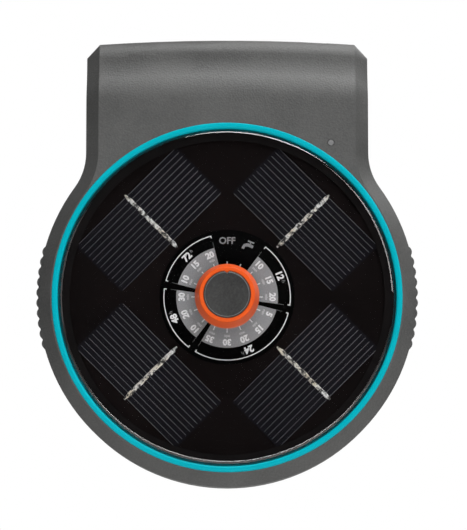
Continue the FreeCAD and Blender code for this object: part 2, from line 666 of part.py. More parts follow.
# Thick places behind the cover recess, the hook recess and the screws, then the battery well's walls
RECESS_FLOOR = f"{BACK} - cover_thick"
INSIDE = f"{BACK} - rear_wall"
thick = draw_on(rear, "thick", INSIDE)
rectangle(thick, "-(cover_half + cover_gap + well_wall)", "cover_half + cover_gap + well_wall",
          "-(shelf_height - rear_wall / 2)", "cover_high + cover_gap + well_wall")
pad(rear, thick, "cover_thick", back=False)
hook_thick = draw_on(rear, "hook_thick", INSIDE)
rectangle(hook_thick, "-(hook_half + rear_wall)", "hook_half + rear_wall",
          f"{ROOF} - hook_root - rear_wall",
          f"{ROOF} - rear_wall / 2")
pad(rear, hook_thick, "cover_thick", back=False)
rear_posts = draw_on(rear, "rear_posts", "front_depth")
for across, up in SCREW_PLACES:
    circle(rear_posts, "screw_post", across, up)
pad(rear, rear_posts, "flange_thick")
deep_posts = draw_on(rear, "deep_posts", "front_depth")
for across, up in SCREW_PLACES:
    if "turn_low" not in up:
        circle(deep_posts, "screw_post + well_wall / 2", across, up)
pad(rear, deep_posts, "rear_depth - rear_wall")
well_block = draw_on(rear, "well_block", "well_floor - well_wall")
rectangle(well_block, "-(well_half + well_wall)", "well_half + well_wall",
          "-(shelf_height - rear_wall / 2)",
          "well_high + well_wall")
pad(rear, well_block, f"{INSIDE} - well_floor + well_wall")
COVER_SCREWS = [
    (f"{side}cover_screw_across", up)
    for side in ("", "-") for up in ("cover_high - cover_screw_margin",
                                     "-(cover_low - cover_screw_margin)")
]
cover_posts = draw_on(rear, "cover_posts", INSIDE)
for across, up in COVER_SCREWS:
    if not up.startswith("-"):
        circle(cover_posts, "screw_head", across, up)
pad(rear, cover_posts, "screw_long", back=False)

well = draw_on(rear, "well", "well_floor")
rectangle(well, "-well_half", "well_half", "-well_low", "well_high")
pocket(rear, well, f"{BACK} - well_floor")
cover_recess = draw_on(rear, "cover_recess", RECESS_FLOOR)
rectangle(cover_recess, "-(cover_half + cover_gap)", "cover_half + cover_gap", "-(cover_low + cover_gap)",
          "cover_high + cover_gap")
pocket(rear, cover_recess, "cover_thick + 1")

SEAL_NEAR, SEAL_FAR = "cover_seal_off", "(cover_seal_off + cover_seal_wide)"
cover_groove = draw_on(rear, "cover_groove", RECESS_FLOOR)
for reach in (SEAL_FAR, SEAL_NEAR):
    rectangle(cover_groove, f"-(well_half + {reach})", f"well_half + {reach}", f"-(well_low + {reach})",
              f"well_high + {reach}")
pocket(rear, cover_groove, "seal_deep", back=False)
cover_holes = draw_on(rear, "cover_holes", RECESS_FLOOR)
for across, up in COVER_SCREWS:
    circle(cover_holes, "screw_radius + shaft_fit", across, up)
pocket(rear, cover_holes, "screw_long - cover_thick", back=False)

# The hook's root lies in a recess that is open at the top
hook_recess = draw_on(rear, "hook_recess", RECESS_FLOOR)
rectangle(hook_recess, "-(hook_half + part_gap)", "hook_half + part_gap",
          f"{ROOF} - hook_root - part_gap",
          f"{ROOF} + 1")
pocket(rear, hook_recess, "cover_thick + 1")
HOOK_SCREWS = [
    (f"{side}hook_screw_across", f"{ROOF} - hook_root + {step} * hook_root / 4")
    for side in ("", "-") for step in (1, 3)
]
hook_holes = draw_on(rear, "hook_holes", RECESS_FLOOR)
for across, up in HOOK_SCREWS:
    circle(hook_holes, "screw_radius", across, up)
pocket(rear, hook_holes, "cover_thick + rear_wall", back=False)

# Wells behind the case screws, and holes for the two barbs in the shelf
screw_wells = draw_on(rear, "screw_wells", "front_depth + flange_thick")
for across, up in SCREW_PLACES:
    circle(screw_wells, "screw_head + screw_room", across, up)
pocket(rear, screw_wells, "rear_depth")
screw_holes = draw_on(rear, "screw_holes", "front_depth")
for across, up in SCREW_PLACES:
    circle(screw_holes, "screw_radius", across, up)
pocket(rear, screw_holes, "flange_thick")
BARB_PLACES = {"suction": "-(pump_across + port_half)", "delivery": "-(pump_across - port_half)"}
barb_holes = draw_on(rear, "barb_holes", "0", "XY_Plane")
bind(barb_holes, "AttachmentOffset.Base.z", "-(shelf_height + 1)")
for across in BARB_PLACES.values():
    circle(barb_holes, "stub_radius", across, "pump_mid")
pocket(rear, barb_holes, "rear_wall + 2", back=False)

finish(group(*[screw(across, "front_depth + flange_thick", up, "flange_thick + screw_long")
               for across, up in SCREW_PLACES]), "case_screws")

# Rim hook: a root plate on the rear housing, an arch over the slot and a leg behind it
hook = new_body("rim_hook")
LEG_FRONT = f"{BACK} + slot_wide"
LEG_END = f"{ROOF} - hook_leg"
side_view = draw_on(hook, "side_view", "0", "YZ_Plane")
ARCH_START = "front_depth + flange_thick + part_gap"
polygon(side_view, [
    (ARCH_START, ROOF), (RECESS_FLOOR, ROOF), (RECESS_FLOOR, f"{ROOF} - hook_root"),
    (BACK, f"{ROOF} - hook_root"),
    (BACK, ROOF), (LEG_FRONT, ROOF), (LEG_FRONT, LEG_END), (f"{LEG_FRONT} + hook_thick", LEG_END),
    (f"{LEG_FRONT} + hook_thick", "case_top - top_crown"), (ARCH_START, "case_top - top_crown"),
])
hook_pad = pad(hook, side_view, "2 * hook_half")
hook_pad.Midplane = True
doc.recompute()


def straight_edges(shape, wanted):
    """Name the edges whose middle passes a test."""
    return [f"Edge{number}" for number, edge in enumerate(shape.Edges, start=1) if wanted(edge.BoundBox)]


def outer_bend(box):
    back = value(f"{LEG_FRONT} + hook_thick")
    return box.YMin > back - 1e-3 and box.ZMin > value("case_top - top_crown") - 1e-3


def leg_corner(box):
    return box.ZMax < value(LEG_END) + 1e-3 and box.YLength > value("hook_thick") - 1e-3


hook_bend = hook.newObject("PartDesign::Fillet", "hook_bend_cut")
hook_bend.Base = (hook_pad, straight_edges(hook_pad.Shape, outer_bend))
bind(hook_bend, "Radius", "hook_bend")
doc.recompute()
leg_corners = hook.newObject("PartDesign::Fillet", "leg_corner_cut")
leg_corners.Base = (hook_bend, straight_edges(hook_bend.Shape, leg_corner))
bind(leg_corners, "Radius", "leg_corner")
doc.recompute()
key_heads = draw_on(hook, "key_heads", LEG_FRONT)
key_runs = draw_on(hook, "key_runs", LEG_FRONT)
key_ends = draw_on(hook, "key_ends", LEG_FRONT)
KEY_TOP = f"{ROOF} - keyhole_drop"
for side in ("", "-"):
    middle = f"{side}keyhole_half"
    circle(key_heads, "keyhole_head", middle, f"{KEY_TOP} - keyhole_run")
    rectangle(key_runs, f"{middle} - keyhole_slot", f"{middle} + keyhole_slot",
              f"{KEY_TOP} - keyhole_run", KEY_TOP)
    circle(key_ends, "keyhole_slot", middle, KEY_TOP)
for sketch in (key_heads, key_runs, key_ends):
    pocket(hook, sketch, "hook_thick")
root_holes = draw_on(hook, "root_holes", RECESS_FLOOR)
for across, up in HOOK_SCREWS:
    circle(root_holes, "screw_radius", across, up)
pocket(hook, root_holes, "cover_thick")
root_sinks = draw_on(hook, "root_sinks", f"{BACK} - screw_head_deep")
for across, up in HOOK_SCREWS:
    circle(root_sinks, "screw_head", across, up)
pocket(hook, root_sinks, "screw_head_deep")
finish(group(*[screw(across, f"{BACK} - screw_head_deep", up,
                     "cover_thick + rear_wall - screw_head_deep / 2")
               for across, up in HOOK_SCREWS]), "hook_screws")
finish(group(*[block("pad_wide", "pad_thick", "pad_high", f"{side}pad_across - pad_wide / 2",
                     f"{LEG_FRONT} - pad_thick", f"{LEG_END} + hook_thick") for side in ("", "-")]),
                     "hook_pads")

# Battery cells lie across the well, with a contact plate at each end
BATTERY_MID = "(well_high - well_low) / 2"
BATTERY_DEPTH = "well_floor + battery_radius + part_gap"
LONG_BODY = "battery_long - battery_tip"
for number, lift in enumerate((1, 0, -1), start=1):
    way = "-" if lift == 0 else ""
    start = f"{way}(battery_long / 2)"
    cell_up = f"{BATTERY_MID} + {lift} * battery_pitch"
    can_turn = Rotation(Vector(0, 1, 0), 90 if lift == 0 else -90)
    can = cylinder("battery_radius", LONG_BODY, start, BATTERY_DEPTH, cell_up, can_turn)
    tip = cylinder("battery_tip_radius", "battery_long", start, BATTERY_DEPTH, cell_up, can_turn)
    finish(fuse(can, tip), f"battery_cell_{number}")
contacts = []
for side, left in (("-", "-well_half"), ("", "well_half - contact_thick")):
    contacts.append(block("contact_thick", "battery_radius", "well_low + well_high - 2 * well_wall", left,
                          "well_floor + battery_radius / 2", "-well_low + well_wall"))
    for lift in (1, 0, -1):
        spring = doc.addObject("Part::Cone", "spring")
        bind(spring, "Radius1", "battery_tip_radius * 1.5")
        bind(spring, "Radius2", "battery_tip_radius / 2")
        bind(spring, "Height", "spring_long")
        seat(spring, f"{side}(well_half - contact_thick)", BATTERY_DEPTH,
             f"{BATTERY_MID} + {lift} * battery_pitch",
             Rotation(Vector(0, 1, 0), 90 if side else -90))
        contacts.append(spring)
finish(group(*contacts), "battery_contacts")

# Battery cover with four captive screws, and its seal in the groove
cover = new_body("battery_cover")
cover_line = draw_on(cover, "line", RECESS_FLOOR)
rectangle(cover_line, "-cover_half", "cover_half", "-cover_low", "cover_high")
pad(cover, cover_line, "cover_thick")
cover_bores = draw_on(cover, "bores", RECESS_FLOOR)
for across, up in COVER_SCREWS:
    circle(cover_bores, "screw_radius", across, up)
pocket(cover, cover_bores, "cover_thick")
cover_sinks = draw_on(cover, "sinks", f"{BACK} - screw_head_deep")
for across, up in COVER_SCREWS:
    circle(cover_sinks, "screw_head", across, up)
pocket(cover, cover_sinks, "screw_head_deep")
finish(group(*[screw(across, f"{BACK} - screw_head_deep", up, "screw_long - cover_thick")
               for across, up in COVER_SCREWS]), "battery_cover_screws")
cover_seal = new_body("battery_cover_seal")
cover_seal_line = draw_on(cover_seal, "line", RECESS_FLOOR)
for reach in (SEAL_FAR, SEAL_NEAR):
    rectangle(cover_seal_line, f"-(well_half + {reach})", f"well_half + {reach}",
              f"-(well_low + {reach})",
              f"well_high + {reach}")
pad(cover_seal, cover_seal_line, "seal_deep", back=False)

# Gear pump: a head with two meshed gears, an end cover with two stubs and a motor on top
UPRIGHT = Rotation()
PUMP_X = "-pump_across"
GEAR_APART = "gear_module * gear_teeth"
DRIVE_DEPTH = f"pump_mid - {GEAR_APART} / 2"
IDLER_DEPTH = f"pump_mid + {GEAR_APART} / 2"
GEAR_TIP = f"({GEAR_APART} / 2 + gear_module)"
GEAR_LOW = "pump_low"


def upright(radius, length, across, back, up):
    return cylinder(radius, length, across, back, up, UPRIGHT)


chamber = [upright(f"{GEAR_TIP} + gear_gap", "gear_wide + 2 * gear_gap", PUMP_X, depth, GEAR_LOW)
           for depth in (DRIVE_DEPTH, IDLER_DEPTH)]
ports = block("2 * (port_half + stub_bore)", "2 * port_high", "gear_wide",
              f"{PUMP_X} - port_half - stub_bore",
              "pump_mid - port_high", GEAR_LOW)
finish(cut(upright("pump_radius", "pump_high", PUMP_X, "pump_mid", "pump_low"), *chamber, ports,
           upright("motor_shaft + shaft_fit", "pump_high", PUMP_X, DRIVE_DEPTH, "pump_low"),
           upright("gear_pin", "gear_wide + 2", PUMP_X, IDLER_DEPTH, "pump_low")), "pump_head")
COVER_LOW = "pump_low - end_cover"
stubs, bores = [], []
for across in BARB_PLACES.values():
    stubs.append(upright("stub_radius", "stub_long", across, "pump_mid", f"{COVER_LOW} - stub_long"))
    bores.append(upright("stub_bore", "stub_long + end_cover", across, "pump_mid",
                         f"{COVER_LOW} - stub_long"))
finish(cut(fuse(upright("pump_radius", "end_cover", PUMP_X, "pump_mid", COVER_LOW), *stubs), *bores,
           upright("gear_pin", "end_cover / 2", PUMP_X, IDLER_DEPTH, "pump_low - end_cover / 2")),
           "pump_end_cover")
finish(upright("gear_pin", "gear_wide + end_cover / 2 + 2", PUMP_X, IDLER_DEPTH,
               "pump_low - end_cover / 2"),
       "idler_pin")


def gear_outline(module, teeth, thinning):
    """Make a closed wire of a spur gear whose flanks are involutes, thinned to leave backlash."""
    pitch, tip, root = module * teeth / 2, module * (teeth / 2 + 1), module * (teeth / 2 - 1.2)
    pressure = math.radians(20)
    base = pitch * math.cos(pressure)
    involute = math.tan(pressure) - pressure
    half_tooth = math.pi / (2 * teeth) - thinning / (2 * pitch) + involute
    radii = [base + (tip - base) * step / 5 for step in range(6)]
    edges = []
    for tooth in range(int(teeth)):
        middle = 2 * math.pi * tooth / teeth

        def at(radius, angle):
            return Vector(radius * math.cos(angle), radius * math.sin(angle), 0)

        def flank(side):
            points = []
            for radius in radii:
                roll_angle = math.acos(base / radius)
                points.append(at(radius,
                                 middle + side * (half_tooth - math.tan(roll_angle) + roll_angle)))
            return points

        rising, falling = flank(-1), flank(1)
        root_start, root_end = at(root, middle - half_tooth), at(root, middle + half_tooth)
        following = at(root, middle + 2 * math.pi / teeth - half_tooth)
        between = at(root, middle + math.pi / teeth)
        curve_up, curve_down = Part.BSplineCurve(), Part.BSplineCurve()
        curve_up.interpolate(rising)
        curve_down.interpolate(falling[::-1])
        edges += [
            Part.LineSegment(root_start, rising[0]).toShape(), curve_up.toShape(),
            Part.Arc(rising[-1], at(tip, middle), falling[-1]).toShape(), curve_down.toShape(),
            Part.LineSegment(falling[0], root_end).toShape(),
            Part.Arc(root_end, between, following).toShape(),
        ]
    return Part.Wire(Part.__sortEdges__(edges))


def spur_gear(label, bore, depth, turn):
    """Extrude a gear and bore it, then set it in the chamber turned by an angle about its axis."""
    wire = gear_outline(value("gear_module"), value("gear_teeth"), value("gear_backlash"))
    solid = Part.Face(wire).extrude(Vector(0, 0, value("gear_wide")))
    solid = solid.cut(Part.makeCylinder(value(bore), value("gear_wide")))
    gear = doc.addObject("Part::Feature", label + "_shape")
    gear.Shape = solid
    return finish(seat(gear, PUMP_X, depth, f"{GEAR_LOW} + gear_gap", Rotation(Vector(0, 0, 1), turn)),
                  label)


HALF_TOOTH = 180 / value("gear_teeth")
spur_gear("drive_gear", "motor_shaft", DRIVE_DEPTH, 90)
spur_gear("idler_gear", "gear_pin + shaft_fit", IDLER_DEPTH, 90 + HALF_TOOTH)

# Motor: a steel can with a rotor inside, its shaft carrying the drive gear
MOTOR_LOW = "(pump_low + pump_high)"
can_body = upright("motor_radius", "motor_long", PUMP_X, DRIVE_DEPTH, MOTOR_LOW)
can_room = upright("motor_radius - motor_wall", "motor_long - 2 * motor_wall", PUMP_X, DRIVE_DEPTH,
                   f"{MOTOR_LOW} + motor_wall")
can_hole = upright("motor_shaft + shaft_fit", "motor_wall", PUMP_X, DRIVE_DEPTH, MOTOR_LOW)
finish(cut(can_body, can_room, can_hole), "motor_case")
ROTOR_LOW = f"{MOTOR_LOW} + motor_wall + rotor_gap"
finish(cut(upright("rotor_core", "motor_long - 2 * motor_wall - 2 * rotor_gap", PUMP_X, DRIVE_DEPTH,
                   ROTOR_LOW),
           upright("motor_shaft", "motor_long", PUMP_X, DRIVE_DEPTH, MOTOR_LOW)), "motor_rotor")
finish(upright("motor_shaft", f"{MOTOR_LOW} + motor_long - motor_wall - rotor_gap - pump_low - gear_gap",
               PUMP_X,
               DRIVE_DEPTH, "pump_low + gear_gap"), "motor_shaft")

# Two tubes run straight down from the pump's stubs to the hose barbs
TUBE_LOW = "-(shelf_height - rear_wall - 1)"
for name, across in BARB_PLACES.items():
    stub_inside = upright("stub_radius", "rear_wall + 1 + tube_lap", across, "pump_mid", "-shelf_height")
    collar = upright("barb_flange", "barb_flange_thick", across, "pump_mid",
                     "-(shelf_height + barb_flange_thick)")
    spigot = upright("stub_radius", "barb_long", across, "pump_mid",
                     "-(shelf_height + barb_flange_thick + barb_long)")
    teeth = []
    for step in range(3):
        cone = doc.addObject("Part::Cone", "barb")
        bind(cone, "Radius1", "stub_radius")
        bind(cone, "Radius2", "barb_radius")
        bind(cone, "Height", "barb_long / 4")
        teeth.append(seat(cone, across, "pump_mid",
                          f"-(shelf_height + barb_flange_thick + barb_long) + {step} * barb_long / 4",
                          UPRIGHT))
    bore = upright("stub_bore", "2 * shelf_height", across, "pump_mid", "-2 * shelf_height")
    finish(cut(fuse(stub_inside, collar, spigot, *teeth), bore), f"{name}_barb")
    tube_up = f"{COVER_LOW} - stub_long + tube_lap"
    length = f"{tube_up} - ({TUBE_LOW})"
    finish(tube("stub_radius + tube_wall", "stub_radius", length, across, "pump_mid", TUBE_LOW, UPRIGHT),
           f"{name}_tube")

doc.recompute()
for item in doc.Objects:
    if "Invalid" in item.State or "Error" in item.State:
        raise RuntimeError(f"{item.Name} failed: {item.State}")
for piece in PARTS:
    if piece.Shape.isNull() or not piece.Shape.isValid() or not piece.Shape.Solids:
        raise RuntimeError(f"{piece.Label} has no valid shape")
os.makedirs("parts", exist_ok=True)
for piece in PARTS:
    piece.Shape.exportStep(os.path.join("parts", piece.Label + ".step"))
print(f"wrote {len(PARTS)} parts")
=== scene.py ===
import math

import bmesh
import bpy
from mathutils import Matrix, Vector, noise


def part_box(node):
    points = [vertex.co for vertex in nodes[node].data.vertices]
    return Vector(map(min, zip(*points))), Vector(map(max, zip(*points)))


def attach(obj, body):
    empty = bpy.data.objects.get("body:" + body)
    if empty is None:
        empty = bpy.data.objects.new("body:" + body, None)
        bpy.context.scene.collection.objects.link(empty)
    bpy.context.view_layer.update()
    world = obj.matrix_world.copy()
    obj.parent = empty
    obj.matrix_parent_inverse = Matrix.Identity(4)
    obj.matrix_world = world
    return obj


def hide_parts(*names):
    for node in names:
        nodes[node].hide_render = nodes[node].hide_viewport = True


# A solar-powered drip irrigation timer: a grey housing that hangs by a rear hook, with a round glass face.
# The row frame's +Z is up and the face looks along -Y. All lengths are metres.
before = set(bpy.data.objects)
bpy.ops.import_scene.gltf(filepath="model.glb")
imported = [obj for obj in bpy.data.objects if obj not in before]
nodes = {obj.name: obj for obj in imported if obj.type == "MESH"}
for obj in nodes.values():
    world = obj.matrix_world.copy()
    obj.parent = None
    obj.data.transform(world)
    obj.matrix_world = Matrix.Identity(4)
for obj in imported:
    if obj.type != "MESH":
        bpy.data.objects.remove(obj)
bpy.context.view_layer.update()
MM = 0.001

# ---------------------------------------------------------------------------------------------------------
# Front housing. One moulding in dark grey glass-filled plastic, spark-eroded in the mould to a fine matt
# grain, with a rolled top, bevelled edges and grip ribs at both sides. Each edge has a small real radius,
# painted lighter as a highlight.


def shared_effect(name, inputs, outputs):
    """Start a node group with named value, colour or vector sockets."""
    tree = bpy.data.node_groups.new(name, "ShaderNodeTree")
    for socket, kind in inputs:
        tree.interface.new_socket(name=socket, in_out="INPUT", socket_type=f"NodeSocket{kind}")
    for socket, kind in outputs:
        tree.interface.new_socket(name=socket, in_out="OUTPUT", socket_type=f"NodeSocket{kind}")
    return tree, tree.nodes.new("NodeGroupInput"), tree.nodes.new("NodeGroupOutput")


def noise_at(tree, vector, scale, detail=2.0, rough=0.5):
    """Add a noise texture read at a vector, its scale a number or a socket."""
    texture = tree.nodes.new("ShaderNodeTexNoise")
    tree.links.new(vector, texture.inputs["Vector"])
    if isinstance(scale, bpy.types.NodeSocket):
        tree.links.new(scale, texture.inputs["Scale"])
    else:
        texture.inputs["Scale"].default_value = scale
    texture.inputs["Detail"].default_value = detail
    texture.inputs["Roughness"].default_value = rough
    return texture.outputs["Fac"]


def calculated(tree, operation, first, second):
    """Add a math node between sockets or numbers."""
    node = tree.nodes.new("ShaderNodeMath")
    node.operation = operation
    for socket, given in zip(node.inputs, (first, second)):
        if isinstance(given, bpy.types.NodeSocket):
            tree.links.new(given, socket)
        else:
            socket.default_value = given
    return node.outputs[0]


NOISE_SPAN = (0.3, 0.7)
FULL_SPAN = (0.0, 1.0)


def spread(tree, fac, span, onto):
    """Map a value's span onto another one, held at both ends."""
    node = tree.nodes.new("ShaderNodeMapRange")
    tree.links.new(fac, node.inputs["Value"])
    for socket, given in zip(("From Min", "From Max", "To Min", "To Max"), (*span, *onto)):
        node.inputs[socket].default_value = given
    return node.outputs["Result"]


def blended(tree, fac, low, high):
    """Mix two colours by a mask, each colour a tuple or a socket."""
    node = tree.nodes.new("ShaderNodeMix")
    node.data_type = "RGBA"
    tree.links.new(fac, node.inputs["Factor"])
    for socket, given in ((node.inputs[6], low), (node.inputs[7], high)):
        if isinstance(given, bpy.types.NodeSocket):
            tree.links.new(given, socket)
        else:
            socket.default_value = (*given, 1.0)
    return node.outputs[2]


FLOW_PATCHES = 45.0


def moulded_grain():
    """The mould's grain: pits and grains of one size, and broad soft patches where the melt flowed."""
    tree, given, out = shared_effect(
        "moulded_grain", [("Vector", "Vector"), ("Grains", "Float")],
        [("Height", "Float"), ("Speckle", "Float"), ("Patches", "Float")])
    grains = noise_at(tree, given.outputs["Vector"], given.outputs["Grains"], 3.0, 0.65)
    cells = tree.nodes.new("ShaderNodeTexVoronoi")
    tree.links.new(given.outputs["Vector"], cells.inputs["Vector"])
    tree.links.new(given.outputs["Grains"], cells.inputs["Scale"])
    tree.links.new(calculated(tree, "ADD", grains, cells.outputs["Distance"]), out.inputs["Height"])
    tree.links.new(spread(tree, grains, NOISE_SPAN, FULL_SPAN), out.inputs["Speckle"])
    patches = noise_at(tree, given.outputs["Vector"], FLOW_PATCHES)
    tree.links.new(spread(tree, patches, NOISE_SPAN, FULL_SPAN), out.inputs["Patches"])
    return tree


GRAIN = moulded_grain()


def new_finish(name):
    """Start a material and give its tree, its shader and its object coordinates."""
    finish = bpy.data.materials.new(name)
    finish.use_nodes = True
    tree = finish.node_tree
    shader = tree.nodes["Principled BSDF"]
    place = tree.nodes.new("ShaderNodeTexCoord").outputs["Object"]
    return finish, tree, shader, place


def bumped(tree, shader, height, depth):
    """Feed a height into the shader's normal, its depth in metres."""
    bump = tree.nodes.new("ShaderNodeBump")
    bump.inputs["Distance"].default_value = depth
    bump.inputs["Strength"].default_value = 1.0
    tree.links.new(height, bump.inputs["Height"])
    tree.links.new(bump.outputs["Normal"], shader.inputs["Normal"])


def moulded(name, dark, light, rough, grains=2600.0, depth=0.05 * MM, sheen=0.5):
    """A moulded plastic: two near colours that vary with its grain, and a roughness range."""
    finish, tree, shader, place = new_finish(name)
    effect = tree.nodes.new("ShaderNodeGroup")
    effect.node_tree = GRAIN
    effect.inputs["Grains"].default_value = grains
    tree.links.new(place, effect.inputs["Vector"])
    both = calculated(tree, "ADD", effect.outputs["Speckle"], effect.outputs["Patches"])
    mask = calculated(tree, "MULTIPLY", both, 0.5)
    tree.links.new(blended(tree, mask, dark, light), shader.inputs["Base Color"])
    tree.links.new(spread(tree, effect.outputs["Patches"], FULL_SPAN, rough), shader.inputs["Roughness"])
    shader.inputs["Specular IOR Level"].default_value = sheen
    bumped(tree, shader, effect.outputs["Height"], depth)
    return finish


WELD_GAP = 0.002 * MM
FLAT_ANGLE = math.radians(0.05)


def welded_copy(node, name):
    """Copy a CAD node's mesh, merge its loose triangles and dissolve the ones that lie flat together."""
    shape = bmesh.new()
    shape.from_mesh(nodes[node].data)
    bmesh.ops.remove_doubles(shape, verts=shape.verts, dist=WELD_GAP)
    bmesh.ops.dissolve_limit(shape, angle_limit=FLAT_ANGLE, verts=shape.verts, edges=shape.edges)
    mesh = bpy.data.meshes.new(name)
    shape.to_mesh(mesh)
    shape.free()
    return mesh


def set_piece(name, mesh, finishes, body, stands_for=()):
    """Make an object of a finished mesh and seat it on its body."""
    piece = bpy.data.objects.new(name, mesh)
    bpy.context.scene.collection.objects.link(piece)
    mesh.materials.clear()
    for finish in finishes:
        mesh.materials.append(finish)
    mesh.shade_smooth()
    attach(piece, body)
    if stands_for:
        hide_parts(*stands_for)
    return piece


def round_edges(piece, width, angle=24.0, segments=2, highlight_finish=None):
    """Give each sharp edge a small real radius, in a lighter finish as a painted highlight if asked, and keep
    the flats flat.
    """
    bevel = piece.modifiers.new("edge_radius", "BEVEL")
    bevel.width = width
    bevel.segments = segments
    bevel.limit_method = "ANGLE"
    bevel.angle_limit = math.radians(angle)
    if highlight_finish is not None:
        piece.data.materials.append(highlight_finish)
        bevel.material = len(piece.data.materials) - 1
    flats = piece.modifiers.new("flats", "WEIGHTED_NORMAL")
    flats.mode = "FACE_AREA_WITH_ANGLE"
    return piece


CASE_GRAINS = 1250.0
CASE_FINISH = moulded("case_plastic_grained", (0.058, 0.058, 0.057), (0.108, 0.108, 0.106), (0.48, 0.60),
                      CASE_GRAINS, depth=0.07 * MM)
# The edges' finish is lighter than the face: a painted highlight along the rounded edges; its lower roughness
# is the edges' polish.
CASE_EDGE_HIGHLIGHT = moulded("case_plastic_edge_highlight", (0.105, 0.105, 0.103), (0.150, 0.150, 0.148), (0.36, 0.46),
                    CASE_GRAINS, depth=0.02 * MM)
front_shell = set_piece("front_shell", welded_copy("front_housing", "front_shell"), [CASE_FINISH], "case",
                        ["front_housing"])
round_edges(front_shell, 0.38 * MM, highlight_finish=CASE_EDGE_HIGHLIGHT)

# ---------------------------------------------------------------------------------------------------------
# Rear housing and the seal between the halves. The same grey plastic, closed on the front half by six screws
# from behind, over a cord of black rubber that lies in a groove.


def clouded(name, dark, light, rough, clouds, detail=2.0, fineness=0.5, sheen=0.5):
    """A finish whose colour and roughness drift together between two near values, in soft clouds."""
    finish, tree, shader, place = new_finish(name)
    cloud = noise_at(tree, place, clouds, detail, fineness)
    tree.links.new(blended(tree, cloud, dark, light), shader.inputs["Base Color"])
    tree.links.new(spread(tree, cloud, NOISE_SPAN, rough), shader.inputs["Roughness"])
    shader.inputs["Specular IOR Level"].default_value = sheen
    return finish, tree, shader, place


def refinish(finish, *names):
    """Give CAD nodes that keep their shape a better material."""
    for name in names:
        for slot in nodes[name].material_slots:
            slot.material = finish


rear_shell = set_piece("rear_shell", welded_copy("rear_housing", "rear_shell"), [CASE_FINISH], "case",
                       ["rear_housing"])
# The rear shell's rounded edges carry the same painted highlight.
round_edges(rear_shell, 0.3 * MM, highlight_finish=CASE_EDGE_HIGHLIGHT)
RUBBER, rubber_tree, rubber_shader, rubber_place = clouded(
    "seal_rubber_black", (0.012, 0.012, 0.012), (0.035, 0.034, 0.033), (0.62, 0.82), 180.0, 4.0, 0.6)
bumped(rubber_tree, rubber_shader, noise_at(rubber_tree, rubber_place, 2200.0), 0.03 * MM)
refinish(RUBBER, "case_seal", "battery_cover_seal", "shaft_o_ring")

# ---------------------------------------------------------------------------------------------------------
# Trim ring. A satin teal ring, moulded in coloured plastic and pressed into the step round the window. Its
# front edges are softly rounded.

DIAL_Z = (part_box("trim_ring")[0].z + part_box("trim_ring")[1].z) / 2
FACE_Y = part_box("front_housing")[0].y
DIAL_CENTRE = Vector((0, 0, DIAL_Z))
FULL_TURN = 2 * math.pi
FINE_TURN = 192
SEAM_GAP = 0.001 * MM


def turned(profile, steps, centre=DIAL_CENTRE, axis=Vector((0, 1, 0)), out=Vector((1, 0, 0)), closed=True):
    """Spin a profile of (radius, place along the axis) pairs into a closed skin about an axis."""
    shape = bmesh.new()
    points = [shape.verts.new(centre + out * radius + axis * along) for radius, along in profile]
    ends = points[1:] + points[:1] if closed else points[1:]
    lines = [shape.edges.new(pair) for pair in zip(points, ends)]
    bmesh.ops.spin(shape, geom=points + lines, cent=centre, axis=axis, dvec=(0, 0, 0), angle=FULL_TURN,
                   steps=steps, use_merge=True, use_duplicate=False)
    bmesh.ops.remove_doubles(shape, verts=shape.verts, dist=SEAM_GAP)
    bmesh.ops.recalc_face_normals(shape, faces=shape.faces)
    return shape


def as_mesh(shape, name):
    """Turn a bmesh into a mesh and free it."""
    mesh = bpy.data.meshes.new(name)
    shape.to_mesh(mesh)
    shape.free()
    return mesh


def arc_points(centre, radius, start, end, count):
    """Points of a profile's rounded corner, its angles in degrees from the radial direction."""
    found = []
    for step in range(count + 1):
        angle = math.radians(start + (end - start) * step / count)
        found.append((centre[0] + radius * math.cos(angle), centre[1] + radius * math.sin(angle)))
    return found


WINDOW_PLAY = 0.15 * MM
ring_low, ring_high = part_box("trim_ring")
ring_outer = ring_high.x
ring_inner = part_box("solar_window")[1].x + WINDOW_PLAY
ring_edge = 0.55 * MM
ring_inner_edge = 1.0 * MM
ring_profile = (
    arc_points((ring_inner + ring_inner_edge, ring_low.y + ring_inner_edge), ring_inner_edge, 180, 270, 7)
    + arc_points((ring_outer - ring_edge, ring_low.y + ring_edge), ring_edge, 270, 360, 5)
    + [(ring_outer, ring_high.y), (ring_inner, ring_high.y)]
)
TEAL = moulded("teal_plastic_satin", (0.000, 0.400, 0.485), (0.000, 0.445, 0.535), (0.32, 0.42),
               grains=1800.0, depth=0.01 * MM, sheen=0.08)
set_piece("trim_ring_turned", as_mesh(turned(ring_profile, FINE_TURN), "trim_ring_turned"), [TEAL], "case",
          ["trim_ring"])

# ---------------------------------------------------------------------------------------------------------
# Window. A clear pane with a rolled front edge and a hole for the knob's shaft. It lets lamps' light through
# to the cells behind it.


def clear_pane(name):
    """Clear plastic: full transmission, and plain passage for light on its way from lamps."""
    finish, tree, shader, place = new_finish(name)
    shader.inputs["Transmission Weight"].default_value = 1.0
    shader.inputs["IOR"].default_value = 1.585
    shader.inputs["Coat Weight"].default_value = 1.0
    shader.inputs["Coat IOR"].default_value = 1.6
    shader.inputs["Coat Roughness"].default_value = 0.0
    shader.inputs["Base Color"].default_value = (0.97, 0.98, 1.0, 1.0)
    haze = noise_at(tree, place, 60.0, 3.0, 0.6)
    tree.links.new(spread(tree, haze, (0.35, 0.7), (0.006, 0.022)), shader.inputs["Roughness"])
    path = tree.nodes.new("ShaderNodeLightPath")
    open_way = tree.nodes.new("ShaderNodeBsdfTransparent")
    either = tree.nodes.new("ShaderNodeMixShader")
    passes = calculated(tree, "MAXIMUM", path.outputs["Is Shadow Ray"], path.outputs["Is Diffuse Ray"])
    tree.links.new(passes, either.inputs[0])
    tree.links.new(shader.outputs[0], either.inputs[1])
    tree.links.new(open_way.outputs[0], either.inputs[2])
    tree.links.new(either.outputs[0], tree.nodes["Material Output"].inputs["Surface"])
    return finish


